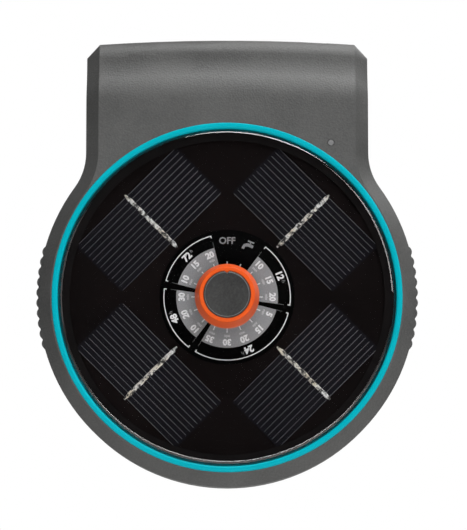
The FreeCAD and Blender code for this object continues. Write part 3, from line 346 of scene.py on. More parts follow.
pane_low, pane_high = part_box("solar_window")
pane_radius = pane_high.x
SHAFT_HOLE = 5.8 * MM
pane_roll = 2.2 * MM
hole_roll = 0.3 * MM
FLAT_START = 0.05 * MM
pane_profile = (
    arc_points((SHAFT_HOLE + hole_roll, pane_low.y + hole_roll), hole_roll, 180, 270, 3)
    + [(SHAFT_HOLE + hole_roll + FLAT_START, pane_low.y), (pane_radius - pane_roll - FLAT_START, pane_low.y)]
    + arc_points((pane_radius - pane_roll, pane_low.y + pane_roll), pane_roll, 270, 360, 14)
    + [(pane_radius, pane_high.y), (SHAFT_HOLE, pane_high.y)]
)
PANE = clear_pane("window_clear_gloss")
SHARP_TURN = math.radians(40)
window = set_piece("window_pane", as_mesh(turned(pane_profile, FINE_TURN), "window_pane"), [PANE], "case",
                   ["solar_window"])
window.data.set_sharp_from_angle(angle=SHARP_TURN)

# The pane's margin is lined with a thin black sheet on its back and its rim: painted shade for the dark look
# of the rolled edge, which also hides the step it is glued to.
rim_shade_finish = clouded("window_rim_painted_shade", (0.0060, 0.0056, 0.0056), (0.0120, 0.0100, 0.0100),
                        (0.35, 0.5), 90.0, sheen=0.0)[0]
BORDER_INNER, BORDER_THICK, BORDER_CLEAR = 66.5 * MM, 0.04 * MM, 0.01 * MM
border_rim = pane_radius - BORDER_THICK
border_back = pane_high.y - BORDER_CLEAR
border_profile = [
    (BORDER_INNER, pane_high.y - BORDER_THICK), (border_rim - BORDER_THICK, pane_high.y - BORDER_THICK),
    (border_rim - BORDER_THICK, pane_low.y + pane_roll), (border_rim, pane_low.y + pane_roll),
    (border_rim, border_back), (BORDER_INNER, border_back),
]
border = set_piece("window_border", as_mesh(turned(border_profile, FINE_TURN), "window_border"),
                   [rim_shade_finish], "case")
border.data.set_sharp_from_angle(angle=SHARP_TURN)

# ---------------------------------------------------------------------------------------------------------
# Cell board and solar cells. A round board in black solder mask carries four dark silicon wafers. Each wafer
# has printed silver fingers across it and a tinned ribbon, soldered by hand, that runs out from the dial.

board_finish = clouded("black_board_mask", (0.0042, 0.0038, 0.0038), (0.0110, 0.0078, 0.0076), (0.42, 0.55),
                       22.0, sheen=0.0)[0]
refinish(board_finish, "cell_board")
silicon_finish = clouded("silicon_dark", (0.0080, 0.0076, 0.0092), (0.0128, 0.0120, 0.0150), (0.38, 0.5),
                         34.0, sheen=0.0)[0]
refinish(silicon_finish, "solar_cell_upper_right", "solar_cell_upper_left", "solar_cell_lower_left",
         "solar_cell_lower_right")
silver_finish = clouded("printed_silver", (0.055, 0.052, 0.060), (0.17, 0.165, 0.175), (0.45, 0.6),
                        700.0, fineness=0.6)[0]

cell_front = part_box("solar_cell_upper_right")[0].y
FINGERS = 13
FINGER_PITCH = 2.26 * MM
FINGER_HALF = 0.11 * MM
FINGER_LONG = 58.0 * MM
FINGER_THICK = 0.02 * MM
CELL_MIDDLE = 46.7 * MM


def place_about_dial(across, out, turn, depth):
    """A point given along a cell's width and out from the dial, turned clockwise from straight up."""
    right = across * math.cos(turn) + out * math.sin(turn)
    up = out * math.cos(turn) - across * math.sin(turn)
    return DIAL_CENTRE + Vector((right, depth, up))


def pushed_out(shape, face, move):
    """Extrude a face by a move and give the new vertices."""
    found = bmesh.ops.extrude_face_region(shape, geom=[face])["geom"]
    moved = [item for item in found if isinstance(item, bmesh.types.BMVert)]
    bmesh.ops.translate(shape, vec=move, verts=moved)
    return moved


def flat_mark(shape, corners, turn, depth):
    """Add a flat face: corners about the dial, each as (across, out)."""
    places = [place_about_dial(across, out, turn, depth) for across, out in corners]
    return shape.faces.new([shape.verts.new(place) for place in places])


def box_corners(left, right, low, high):
    return [(left, low), (right, low), (right, high), (left, high)]


fingers = bmesh.new()
QUARTER_TURNS = [math.radians(45 + 90 * quarter) for quarter in range(4)]
for turn in QUARTER_TURNS:
    for number in range(FINGERS):
        out = CELL_MIDDLE + (number - (FINGERS - 1) / 2) * FINGER_PITCH
        corners = box_corners(-FINGER_LONG / 2, FINGER_LONG / 2, out - FINGER_HALF, out + FINGER_HALF)
        pushed_out(fingers, flat_mark(fingers, corners, turn, cell_front), (0, -FINGER_THICK, 0))
bmesh.ops.recalc_face_normals(fingers, faces=fingers.faces)
set_piece("cell_fingers", as_mesh(fingers, "cell_fingers"), [silver_finish], "case")

solder_finish, solder_tree, solder_shader, solder_place = new_finish("solder_ribbon")
solder_blobs = noise_at(solder_tree, solder_place, 620.0, 3.0, 0.7)
solder_warmth = noise_at(solder_tree, solder_place, 160.0, 2.0, 0.5)
solder_tint = blended(solder_tree, spread(solder_tree, solder_warmth, (0.35, 0.65), FULL_SPAN),
                      (0.96, 0.95, 0.92), (0.88, 0.78, 0.61))
solder_colour = blended(solder_tree, spread(solder_tree, solder_blobs, (0.42, 0.56), FULL_SPAN),
                        (0.035, 0.033, 0.030), solder_tint)
solder_rough = spread(solder_tree, solder_blobs, NOISE_SPAN, (0.5, 0.25))
solder_metal = spread(solder_tree, solder_blobs, (0.4, 0.6), (0.2, 0.5))
for value, socket in ((solder_colour, "Base Color"), (solder_rough, "Roughness"), (solder_metal, "Metallic")):
    solder_tree.links.new(value, solder_shader.inputs[socket])
bumped(solder_tree, solder_shader, solder_blobs, 0.12 * MM)
flux_finish = clouded("solder_flux", (0.012, 0.011, 0.010), (0.10, 0.085, 0.065), (0.35, 0.6),
                      900.0, fineness=0.6)[0]

ribbon_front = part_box("cell_ribbons")[0].y
RIBBON_HALF = 1.0 * MM
RIBBON_START = 29.8 * MM
RIBBON_END = 61.3 * MM
RIBBON_THICK = 0.1 * MM
RIBBON_STEPS = 56
RIBBON_WAVER = 0.22 * MM
RIBBON_SECTION = ((-1.0, 0.0), (-0.8, 0.8), (-0.22, 1.0), (0.0, 0.0), (0.22, 1.0), (0.8, 0.8), (1.0, 0.0))
RIBBON_END_WIDTH, RIBBON_END_SLOPE = 0.35, 9.0
GROOVE_STRIPS = (2, 3)
GROOVE_FIRST, GROOVE_LAST = 4, RIBBON_STEPS - 6
FLUX_LEVEL = -0.22


def drift(*spot):
    """A smooth random swing, the same each time for the same spot."""
    return noise.noise(Vector(spot))


# A hand-soldered ribbon wavers, thins and fills up along its way, and its groove holds dark flux in stretches
ribbons = bmesh.new()
for quarter, turn in enumerate(QUARTER_TURNS):
    rows = []
    for step in range(RIBBON_STEPS + 1):
        share = step / RIBBON_STEPS
        out = RIBBON_START + (RIBBON_END - RIBBON_START) * share
        middle = RIBBON_WAVER * drift(quarter * 7.0, share * 21.0, 0.0)
        taper = min(1.0, RIBBON_END_WIDTH + RIBBON_END_SLOPE * min(share, 1.0 - share))
        half = RIBBON_HALF * taper * (0.9 - 0.28 * drift(quarter * 3.0, share * 11.0, 5.0))
        groove = RIBBON_THICK * (0.525 + 0.55 * drift(quarter * 5.0, share * 34.0, 9.0))
        row = []
        for side, rise in RIBBON_SECTION:
            depth = ribbon_front + RIBBON_THICK - (RIBBON_THICK * rise if side else groove)
            row.append(ribbons.verts.new(place_about_dial(side * half + middle, out, turn, depth)))
        rows.append(row)
    for step, (near, far) in enumerate(zip(rows, rows[1:])):
        fluxed = GROOVE_FIRST <= step <= GROOVE_LAST and drift(quarter * 9.0, step * 0.31, 2.0) > FLUX_LEVEL
        for strip, corners in enumerate(zip(near, near[1:], far[1:], far)):
            ribbons.faces.new(corners).material_index = int(fluxed and strip in GROOVE_STRIPS)
    ribbons.faces.new([row[0] for row in rows] + [row[-1] for row in reversed(rows)])
    ribbons.faces.new(rows[0])
    ribbons.faces.new(rows[-1])
bmesh.ops.recalc_face_normals(ribbons, faces=ribbons.faces)
set_piece("solder_ribbons", as_mesh(ribbons, "solder_ribbons"), [solder_finish, flux_finish], "case",
          ["cell_ribbons"])

# ---------------------------------------------------------------------------------------------------------
# Dial print. A black disc, printed in grey and white: sixteen places in four groups of run times, with the
# hours between runs outside each group. Every mark is a thin raised layer of ink.

PLACES = 16
STEP = FULL_TURN / PLACES
GROUPS = (
    ("12", 2, (10, 15, 20)),
    ("24", 5, (5, 15, 20, 30, 35)),
    ("48", 10, (10, 20, 30)),
    ("72", 13, (10, 15, 20)),
)
GROUP_INSET = math.radians(3.35)
BAND_INNER, BAND_OUTER = 13.0 * MM, 21.5 * MM
INK_THICK, INK_LAYERS = 0.03 * MM, 2.5
print_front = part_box("dial_print")[0].y
disc_front = print_front + INK_LAYERS * INK_THICK
print_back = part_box("dial_print")[1].y


def ink(name, dark, light, dots, sheen=0.5):
    """A printed ink with its raster's fine dots."""
    finish, tree, shader, place = new_finish(name)
    raster = noise_at(tree, place, dots, 2.0, 0.7)
    tree.links.new(blended(tree, spread(tree, raster, (0.35, 0.65), FULL_SPAN), dark, light),
                   shader.inputs["Base Color"])
    tree.links.new(spread(tree, raster, NOISE_SPAN, (0.45, 0.6)), shader.inputs["Roughness"])
    shader.inputs["Specular IOR Level"].default_value = sheen
    bumped(tree, shader, raster, 0.004 * MM)
    return finish


INK_BLACK = ink("dial_ink_black", (0.0018, 0.0018, 0.0018), (0.0034, 0.0034, 0.0034), 1500.0, 0.0)
INK_GREY = ink("dial_ink_grey", (0.235, 0.237, 0.241), (0.330, 0.333, 0.338), 3600.0)
INK_WHITE = ink("dial_ink_white", (0.74, 0.74, 0.74), (0.90, 0.90, 0.90), 2400.0)
INK_PALE = ink("dial_ink_pale", (0.20, 0.20, 0.203), (0.29, 0.29, 0.293), 2400.0)
INK_FAINT = ink("dial_ink_faint", (0.50, 0.50, 0.505), (0.66, 0.66, 0.665), 2400.0)

DISC_STEPS = 96
disc_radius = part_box("dial_print")[1].x
disc_profile = box_corners(SHAFT_HOLE, disc_radius, disc_front, print_back)
set_piece("dial_disc", as_mesh(turned(disc_profile, DISC_STEPS), "dial_disc"), [INK_BLACK], "case",
          ["dial_print"])
ARC_STEP = math.radians(2.0)


def printed_arc(shape, inner, outer, start, end, front):
    """Add a thin sector between two radii, its angles clockwise from straight up."""
    low = shape.verts.new(place_about_dial(0, inner, start, front))
    high = shape.verts.new(place_about_dial(0, outer, start, front))
    line = shape.edges.new((low, high))
    steps = max(2, round((end - start) / ARC_STEP))
    bmesh.ops.spin(shape, geom=[low, high, line], cent=DIAL_CENTRE, axis=(0, 1, 0), dvec=(0, 0, 0),
                   angle=end - start, steps=steps, use_merge=False, use_duplicate=False)


def printed(shape, name, finish):
    """Give flat marks their ink's thickness and set them on the case."""
    bmesh.ops.recalc_face_normals(shape, faces=shape.faces)
    outward = [face for face in shape.faces if face.normal.y > 0]
    bmesh.ops.reverse_faces(shape, faces=outward)
    piece = set_piece(name, as_mesh(shape, name), [finish], "case")
    body = piece.modifiers.new("ink_thickness", "SOLIDIFY")
    body.thickness = INK_THICK
    body.offset = -1.0
    piece.data.shade_flat()
    return piece


BAND_FRONT = disc_front - INK_THICK
MARK_FRONT = BAND_FRONT - INK_THICK
band, bright, pale = bmesh.new(), bmesh.new(), bmesh.new()
ARC_RADIUS, ARC_HALF, ARC_TIP = 26.7 * MM, 0.19 * MM, 0.95 * MM
TIP_ANGLE = 2.2 * ARC_HALF / ARC_RADIUS
EDGE_END, EDGE_WIDE = 24.0 * MM, 0.1 * MM
EDGE_ANGLE = EDGE_WIDE / BAND_OUTER
TICK_INNER, TICK_OUTER, TICK_HALF = 13.2 * MM, 15.1 * MM, 0.22 * MM
for label, first, minutes in GROUPS:
    start = (first - 0.5) * STEP + GROUP_INSET
    end = (first - 0.5 + len(minutes)) * STEP - GROUP_INSET
    printed_arc(band, BAND_INNER, BAND_OUTER, start, end, BAND_FRONT)
    printed_arc(bright, ARC_RADIUS - ARC_HALF, ARC_RADIUS + ARC_HALF, start, end, MARK_FRONT)
    for edge, side in ((start, 1.0), (end, -1.0)):
        tip = sorted((edge, edge + side * TIP_ANGLE))
        printed_arc(bright, ARC_RADIUS - ARC_TIP, ARC_RADIUS - ARC_HALF, *tip, MARK_FRONT)
        line = sorted((edge, edge + side * EDGE_ANGLE))
        printed_arc(pale, BAND_OUTER, EDGE_END, *line, MARK_FRONT)
for place in range(PLACES):
    corners = box_corners(-TICK_HALF, TICK_HALF, TICK_INNER, TICK_OUTER)
    flat_mark(bright, corners, place * STEP, MARK_FRONT)

# The tap's mark: a spout turned down at the left, a body, and a handle on a short stem
TAP_BODY = (
    (-1.9, -1.35), (-1.0, -1.35), (-0.85, -0.35), (0.1, 0.0),
    (1.6, -0.1), (1.6, 0.95), (-0.6, 1.0), (-1.7, 0.2),
)
TAP_STEM = box_corners(0.15, 0.6, 0.95, 1.5)
TAP_HANDLE = box_corners(-0.7, 1.5, 1.5, 2.0)
TAP_OUT, TAP_SCALE, TAP_MIDDLE = 23.7 * MM, 1.25 * MM, 0.4
for outline in (TAP_BODY, TAP_STEM, TAP_HANDLE):
    corners = [(across * TAP_SCALE, TAP_OUT + (out - TAP_MIDDLE) * TAP_SCALE) for across, out in outline]
    flat_mark(pale, corners, STEP, MARK_FRONT)

CAPITAL_SHARE = 0.73
BOLD, SEMI_BOLD, THIN = 0.17 * MM, 0.09 * MM, 0.05 * MM
NUMBER_HIGH, NUMBER_OUT = 2.6 * MM, 19.05 * MM
UNIT_HIGH, UNIT_OUT = 1.2 * MM, 16.6 * MM
HOURS_HIGH, HOURS_OUT = 2.85 * MM, 23.9 * MM
SMALL_H_HIGH, SMALL_H_OUT, SMALL_H_TURN = 1.7 * MM, 24.7 * MM, math.radians(7.0)
OFF_HIGH, OFF_OUT = 2.9 * MM, 23.8 * MM


def printed_word(shape, word, high, out, turn, weight=0.0):
    """Add a word read from outside the dial, its middle at a radius and its capitals of a height."""
    text = bpy.data.curves.new("word", "FONT")
    text.body = word
    text.align_x, text.align_y = "CENTER", "CENTER"
    text.size = high / CAPITAL_SHARE
    text.offset = weight
    text.resolution_u = 3
    holder = bpy.data.objects.new("word", text)
    flat = bpy.data.meshes.new_from_object(holder)
    stand = Matrix.Translation(place_about_dial(0, out, turn, MARK_FRONT)) @ Matrix.Rotation(turn, 4, "Y")
    flat.transform(stand @ Matrix.Rotation(math.pi / 2, 4, "X"))
    shape.from_mesh(flat)
    bpy.data.objects.remove(holder)
    bpy.data.meshes.remove(flat)
    bpy.data.curves.remove(text)


faint = bmesh.new()
for label, first, minutes in GROUPS:
    for number, run in enumerate(minutes):
        turn = (first + number) * STEP
        printed_word(bright, str(run), NUMBER_HIGH, NUMBER_OUT, turn, BOLD)
        printed_word(faint, "min", UNIT_HIGH, UNIT_OUT, turn, THIN)
    middle = (first + (len(minutes) - 1) / 2) * STEP
    printed_word(bright, label, HOURS_HIGH, HOURS_OUT, middle, BOLD)
    printed_word(pale, "h", SMALL_H_HIGH, SMALL_H_OUT, middle + SMALL_H_TURN)
printed_word(pale, "OFF", OFF_HIGH, OFF_OUT, 0.0, SEMI_BOLD)
printed(band, "dial_band", INK_GREY)
printed(bright, "dial_marks_white", INK_WHITE)
printed(pale, "dial_marks_pale", INK_PALE)
printed(faint, "dial_marks_faint", INK_FAINT)

# ---------------------------------------------------------------------------------------------------------
# Selector knob. An orange cone with a recess for a grey cap, a pointer tooth at the recess's top edge, and
# its white shaft with an o-ring, a clip and the switch's rotor behind the face.

ORANGE = moulded("orange_plastic_satin", (0.76, 0.082, 0.005), (0.85, 0.110, 0.009), (0.40, 0.50),
                 grains=2200.0, depth=0.018 * MM, sheen=0.25)
knob = set_piece("knob_cone", welded_copy("knob_body", "knob_cone"), [ORANGE], "selector",
                 ["knob_body"])
round_edges(knob, 0.32 * MM, 30.0, 3)
CAP_GREY = moulded("grey_plastic_grained", (0.016, 0.016, 0.016), (0.059, 0.059, 0.058), (0.5, 0.62),
                   grains=1150.0, depth=0.05 * MM, sheen=0.3)
# The cap's rounded rim is much lighter than its face: a painted highlight.
CAP_EDGE_HIGHLIGHT = moulded("grey_plastic_edge_highlight", (0.13, 0.13, 0.128), (0.21, 0.21, 0.208), (0.35, 0.45),
                   grains=1150.0, depth=0.02 * MM)
cap = set_piece("knob_insert", welded_copy("knob_cap", "knob_insert"), [CAP_GREY], "selector",
                ["knob_cap"])
round_edges(cap, 0.22 * MM, 30.0, 3, CAP_EDGE_HIGHLIGHT)
ACETAL = moulded("white_plastic_acetal", (0.60, 0.59, 0.55), (0.72, 0.71, 0.67), (0.35, 0.5),
                 grains=1500.0, depth=0.01 * MM)
refinish(ACETAL, "knob_shaft", "switch_rotor", "drive_gear", "idler_gear")

# ---------------------------------------------------------------------------------------------------------
# Status light. A domed lens in milky plastic, pushed into its hole from behind and held by its flange. It
# stands a hair back, with a dark gap round it.

lens_finish, _, lens_shader, _ = clouded("light_lens_milky", (0.175, 0.175, 0.177), (0.25, 0.25, 0.253),
                                         (0.25, 0.4), 1400.0)
lens_shader.inputs["Coat Weight"].default_value = 0.3
lens_low, lens_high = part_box("status_light")
lens_centre = Vector(((lens_low.x + lens_high.x) / 2, 0, (lens_low.z + lens_high.z) / 2))
LENS_RADIUS, LENS_GAP, LENS_DOME, FLANGE_THICK = 1.5 * MM, 0.26 * MM, 0.12 * MM, 1.0 * MM
flange_radius = lens_centre.x - lens_low.x
dome_radius = LENS_RADIUS - LENS_GAP
DOME_STEPS, LENS_STEPS = 6, 40
lens_profile = [(0, lens_low.y)]
for step in range(1, DOME_STEPS + 1):
    angle = math.radians(90 * step / DOME_STEPS)
    lens_profile.append((dome_radius * math.sin(angle), lens_low.y + LENS_DOME * (1 - math.cos(angle))))
lens_profile += [
    (dome_radius, lens_high.y - FLANGE_THICK), (flange_radius, lens_high.y - FLANGE_THICK),
    (flange_radius, lens_high.y), (0, lens_high.y),
]
lens = as_mesh(turned(lens_profile, LENS_STEPS, lens_centre, closed=False), "status_lens")
set_piece("status_lens", lens, [lens_finish], "case", ["status_light"])

# ---------------------------------------------------------------------------------------------------------
# Rim hook and its pads. A thick grey strap over the slot, with two keyholes in its leg and four countersunk
# screws in its root. Two ribbed rubber pads on the leg grip the rim.

hook = set_piece("hook_strap", welded_copy("rim_hook", "hook_strap"), [CASE_FINISH], "case",
                 ["rim_hook"])
round_edges(hook, 0.6 * MM, 30.0, 3)

pads_low, pads_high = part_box("hook_pads")
PAD_WIDE, PAD_BASE, PAD_FULL, PAD_RIBS = 12.0 * MM, 0.7 * MM, 1.5 * MM, 11
RIB_SECTION = ((PAD_BASE, 0.0), (PAD_BASE, 0.2), (PAD_FULL, 0.38), (PAD_FULL, 0.72), (PAD_BASE, 0.9))
rib_pitch = (pads_high.z - pads_low.z) / PAD_RIBS
pads = bmesh.new()
for side in (pads_low.x, pads_high.x - PAD_WIDE):
    profile = [(pads_high.y, pads_low.z)]
    for rib in range(PAD_RIBS):
        foot = pads_low.z + rib * rib_pitch
        profile += [(pads_high.y - reach, foot + rise * rib_pitch) for reach, rise in RIB_SECTION]
    profile += [(pads_high.y - PAD_BASE, pads_high.z), (pads_high.y, pads_high.z)]
    face = pads.faces.new([pads.verts.new((side, depth, height)) for depth, height in profile])
    pushed_out(pads, face, (PAD_WIDE, 0, 0))
bmesh.ops.recalc_face_normals(pads, faces=pads.faces)
pad_piece = set_piece("ribbed_pads", as_mesh(pads, "ribbed_pads"), [RUBBER], "case",
                      ["hook_pads"])
round_edges(pad_piece, 0.15 * MM, 20.0)

# ---------------------------------------------------------------------------------------------------------
# Screws. Pan-head screws for plastic, in plated steel with a cross recess and a coarse thread. They close the
# case, hold the hook and the boards, and stay captive in the battery cover.


def plated_steel(name, dark, light, rough):
    """Bright plated steel with dull patches and a fine grain."""
    finish, tree, shader, place = clouded(name, dark, light, rough, 420.0, 4.0, 0.6)
    shader.inputs["Metallic"].default_value = 1.0
    bumped(tree, shader, noise_at(tree, place, 5200.0, 1.0), 0.006 * MM)
    return finish


STEEL = plated_steel("screw_steel_plated", (0.46, 0.46, 0.47), (0.66, 0.66, 0.67), (0.24, 0.4))
SHANK_RADIUS, HEAD_RADIUS, HEAD_DEEP = 1.5 * MM, 2.8 * MM, 1.8 * MM
HEAD_CROWN, HEAD_ROUND = 0.08 * MM, ((0.8, 0.8), (0.96, 0.48), (1.0, 0.2), (1.0, 0.0))
CROSS_LONG, CROSS_WIDE, CROSS_DEEP = 1.55 * MM, 0.36 * MM, 1.1 * MM
CROSS_FLOOR, CROSS_CLEAR = 0.45, 0.2 * MM
THREAD_CORE, THREAD_PITCH, THREAD_START, THREAD_END = 1.05 * MM, 1.25 * MM, 0.8 * MM, 1.5 * MM
THREAD_GAP, THREAD_CREST = 0.45, 0.7
POINT_LONG = 0.8 * MM
SCREW_STEPS, SCREW_SHARP = 28, math.radians(35)


def screw_mesh(length):
    """A screw that points along -Y from the underside of its head, with a cross cut into the head."""
    profile = [(0, HEAD_DEEP), (CROSS_LONG, HEAD_DEEP - HEAD_CROWN)]
    profile += [(HEAD_RADIUS * wide, HEAD_DEEP * high) for wide, high in HEAD_ROUND]
    profile.append((SHANK_RADIUS, 0.0))
    depth = THREAD_START
    while depth + THREAD_PITCH < length - THREAD_END:
        profile += [(THREAD_CORE, -depth), (THREAD_CORE, -depth - THREAD_GAP * THREAD_PITCH),
                    (SHANK_RADIUS, -depth - THREAD_CREST * THREAD_PITCH)]
        depth += THREAD_PITCH
    profile += [(THREAD_CORE, -depth), (THREAD_CORE, -length + POINT_LONG), (0, -length)]
    shank = as_mesh(turned(profile, SCREW_STEPS, Vector((0, 0, 0)), closed=False), "screw")
    screw_body = bpy.data.objects.new("screw", shank)
    cross = bmesh.new()
    mouth, bottom = HEAD_DEEP + CROSS_CLEAR, HEAD_DEEP - CROSS_DEEP
    short = CROSS_LONG * CROSS_FLOOR
    for turn in (0.0, math.pi / 2):
        ends = [(-CROSS_LONG, mouth), (CROSS_LONG, mouth), (short, bottom), (-short, bottom)]
        face = cross.faces.new([cross.verts.new((along, depth, -CROSS_WIDE)) for along, depth in ends])
        pushed = pushed_out(cross, face, (0, 0, 2 * CROSS_WIDE))
        bmesh.ops.rotate(cross, cent=(0, 0, 0), matrix=Matrix.Rotation(turn, 3, "Y"),
                         verts=list(face.verts) + pushed)
    bmesh.ops.recalc_face_normals(cross, faces=cross.faces)
    cutter = bpy.data.objects.new("cross", as_mesh(cross, "cross"))
    for item in (screw_body, cutter):
        bpy.context.scene.collection.objects.link(item)
    recess = screw_body.modifiers.new("recess", "BOOLEAN")
    recess.operation = "DIFFERENCE"
    recess.use_self = True
    recess.object = cutter
    bpy.context.view_layer.update()
    made = bpy.data.meshes.new_from_object(screw_body.evaluated_get(bpy.context.evaluated_depsgraph_get()))
    for item in (screw_body, cutter):
        bpy.data.objects.remove(item)
    return made


def solid_places(node):
    """The boxes of a node's separate solids, as (low, high) corners."""
    shape = bmesh.new()
    shape.from_mesh(nodes[node].data)
    bmesh.ops.remove_doubles(shape, verts=shape.verts, dist=WELD_GAP)
    left, boxes = set(shape.verts), []
    while left:
        reach = [left.pop()]
        island = list(reach)
        while reach:
            for edge in reach.pop().link_edges:
                for vertex in edge.verts:
                    if vertex in left:
                        left.remove(vertex)
                        reach.append(vertex)
                        island.append(vertex)
        axes = list(zip(*(vertex.co for vertex in island)))
        boxes.append((Vector([min(axis) for axis in axes]), Vector([max(axis) for axis in axes])))
    shape.free()
    return sorted(boxes, key=lambda box: (round(box[0].x, 5), round(box[0].z, 5)))


FIRST_CROSS, NEXT_CROSS = 0.5, 1.3


def set_screws(node, name, body):
    """Put a screw at each place of a CAD node of screws, each cross turned its own way."""
    together = bmesh.new()
    for number, (low, high) in enumerate(solid_places(node)):
        made = screw_mesh(high.y - low.y - HEAD_DEEP)
        centre = Vector(((low.x + high.x) / 2, high.y - HEAD_DEEP, (low.z + high.z) / 2))
        turned_cross = Matrix.Rotation(FIRST_CROSS + NEXT_CROSS * number, 4, "Y")
        made.transform(Matrix.Translation(centre) @ turned_cross)
        together.from_mesh(made)
        bpy.data.meshes.remove(made)
    piece = set_piece(name, as_mesh(together, name), [STEEL], body, [node])
    piece.data.set_sharp_from_angle(angle=SCREW_SHARP)


set_screws("case_screws", "case_screw_set", "case")
set_screws("hook_screws", "hook_screw_set", "case")
set_screws("battery_cover_screws", "cover_screw_set", "cover")
set_screws("board_screws", "board_screw_set", "case")
refinish(STEEL, "shaft_clip", "idler_pin", "motor_shaft")

# ---------------------------------------------------------------------------------------------------------
# Battery cover and what it closes. A flat grey door over three cells that lie across the well between plated
# contact plates, on a square rubber seal.

door = set_piece("battery_door", welded_copy("battery_cover", "battery_door"), [CASE_FINISH], "cover",
                 ["battery_cover"])
round_edges(door, 0.4 * MM, 30.0, 3)

sleeve_finish, sleeve_tree, sleeve_shader, sleeve_place = new_finish("battery_sleeve_print")
sleeve_axes = sleeve_tree.nodes.new("ShaderNodeSeparateXYZ")
sleeve_tree.links.new(sleeve_place, sleeve_axes.inputs[0])
SLEEVE_BAND, PRINT_EDGE = 9.0 * MM, 0.1 * MM
sleeve_band = spread(sleeve_tree, calculated(sleeve_tree, "ABSOLUTE", sleeve_axes.outputs["X"], 0.0),
                     (SLEEVE_BAND, SLEEVE_BAND + PRINT_EDGE), FULL_SPAN)
sleeve_tree.links.new(blended(sleeve_tree, sleeve_band, (0.52, 0.54, 0.53), (0.018, 0.10, 0.055)),
                      sleeve_shader.inputs["Base Color"])
sleeve_rub = noise_at(sleeve_tree, sleeve_place, 240.0, 3.0, 0.6)
sleeve_tree.links.new(spread(sleeve_tree, sleeve_rub, NOISE_SPAN, (0.22, 0.36)),
                      sleeve_shader.inputs["Roughness"])
bumped(sleeve_tree, sleeve_shader, sleeve_rub, 0.02 * MM)
NICKEL = plated_steel("contact_metal_nickel", (0.60, 0.59, 0.56), (0.76, 0.75, 0.72), (0.18, 0.32))
CELL_RADIUS, TIP_RADIUS, TIP_LONG, SLEEVE_LAP = 7.2 * MM, 2.7 * MM, 1.5 * MM, 0.9 * MM
BASE_INSET, BASE_SUNK, LAP_LIP = 1.4 * MM, 0.25 * MM, 0.05 * MM
SHOULDER_IN, SHOULDER_DROP, SHOULDER_LONG = 0.3 * MM, 0.1 * MM, 0.5 * MM
TOP_SUNK, TIP_FOOT, TIP_EASE, TIP_EDGE = 0.3 * MM, 1.2 * MM, 0.2 * MM, 0.4 * MM
SLEEVE_DEEP = 0.7 * MM
CELL_STEPS = 48
for number in (1, 2, 3):
    low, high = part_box(f"battery_cell_{number}")
    centre = (low + high) / 2
    half = (high.x - low.x) / 2
    plus_end = 1.0 if number == 2 else -1.0
    can_end = half - TIP_LONG
    base, lap = CELL_RADIUS - BASE_INSET, CELL_RADIUS - SLEEVE_LAP
    shoulder = CELL_RADIUS - SHOULDER_IN
    profile = [
        (0, -half), (base, -half), (base, -half + BASE_SUNK), (lap, -half + BASE_SUNK),
        (lap, -half + LAP_LIP), (shoulder, -half + SHOULDER_DROP), (CELL_RADIUS, -half + SHOULDER_LONG),
        (CELL_RADIUS, can_end - SHOULDER_LONG), (shoulder, can_end - SHOULDER_DROP),
        (lap, can_end), (lap, can_end - TOP_SUNK),
        (TIP_RADIUS + TIP_FOOT, can_end - TOP_SUNK), (TIP_RADIUS + TIP_EASE, can_end - SHOULDER_DROP),
        (TIP_RADIUS, half - TIP_EDGE), (TIP_RADIUS - TIP_EDGE, half), (0, half),
    ]
    cell = turned(profile, CELL_STEPS, centre, Vector((plus_end, 0, 0)), Vector((0, 0, 1)), closed=False)
    for face in cell.faces:
        spot = face.calc_center_median() - centre
        sleeve = math.hypot(spot.y, spot.z) > CELL_RADIUS - SLEEVE_DEEP
        face.material_index = 0 if sleeve else 1
    name = f"cell_{number}_sleeved"
    set_piece(name, as_mesh(cell, name), [sleeve_finish, NICKEL], "case",
              [f"battery_cell_{number}"])
refinish(NICKEL, "battery_contacts")

# ---------------------------------------------------------------------------------------------------------
# Electronics. A rotary switch behind the knob, the main board with its parts, and the light's small board.
# The boards are glass fibre under a green solder mask.

SWITCH_BLACK = moulded("switch_plastic_black", (0.018, 0.018, 0.018), (0.032, 0.032, 0.032), (0.4, 0.55))
refinish(SWITCH_BLACK, "rotary_switch", "board_components")
mask_finish, mask_tree, mask_shader, mask_place = new_finish("green_board_mask")
mask_cells = mask_tree.nodes.new("ShaderNodeTexVoronoi")
mask_cells.feature = "DISTANCE_TO_EDGE"
mask_cells.inputs["Scale"].default_value = 260.0
mask_tree.links.new(mask_place, mask_cells.inputs["Vector"])
mask_tracks = spread(mask_tree, mask_cells.outputs["Distance"], (0.05, 0.09), (1.0, 0.0))
mask_tree.links.new(blended(mask_tree, mask_tracks, (0.006, 0.060, 0.024), (0.020, 0.125, 0.052)),
                    mask_shader.inputs["Base Color"])
mask_tree.links.new(spread(mask_tree, noise_at(mask_tree, mask_place, 300.0), NOISE_SPAN, (0.28, 0.4)),
                    mask_shader.inputs["Roughness"])
bumped(mask_tree, mask_shader, mask_tracks, 0.02 * MM)
refinish(mask_finish, "circuit_board", "light_board")

# ---------------------------------------------------------------------------------------------------------
# Pump, motor and water path. A black glass-filled gear pump under a plated motor can, silicone tubes, and two
# ribbed barbs that come out of the rear housing's shelf for the hoses.

PUMP_BLACK = moulded("pump_plastic_filled", (0.020, 0.020, 0.020), (0.036, 0.036, 0.035), (0.36, 0.5),
                     grains=1900.0, depth=0.02 * MM)
refinish(PUMP_BLACK, "pump_head", "pump_end_cover")
MOTOR_STEEL = plated_steel("motor_steel_plated", (0.40, 0.40, 0.41), (0.58, 0.58, 0.59), (0.28, 0.45))
refinish(MOTOR_STEEL, "motor_case", "motor_rotor")
tube_finish, _, tube_shader, _ = clouded("clear_tube_silicone", (0.50, 0.51, 0.50), (0.64, 0.65, 0.63),
                                         (0.3, 0.42), 200.0, 3.0)
tube_shader.inputs["Transmission Weight"].default_value = 0.35
refinish(tube_finish, "suction_tube", "delivery_tube")

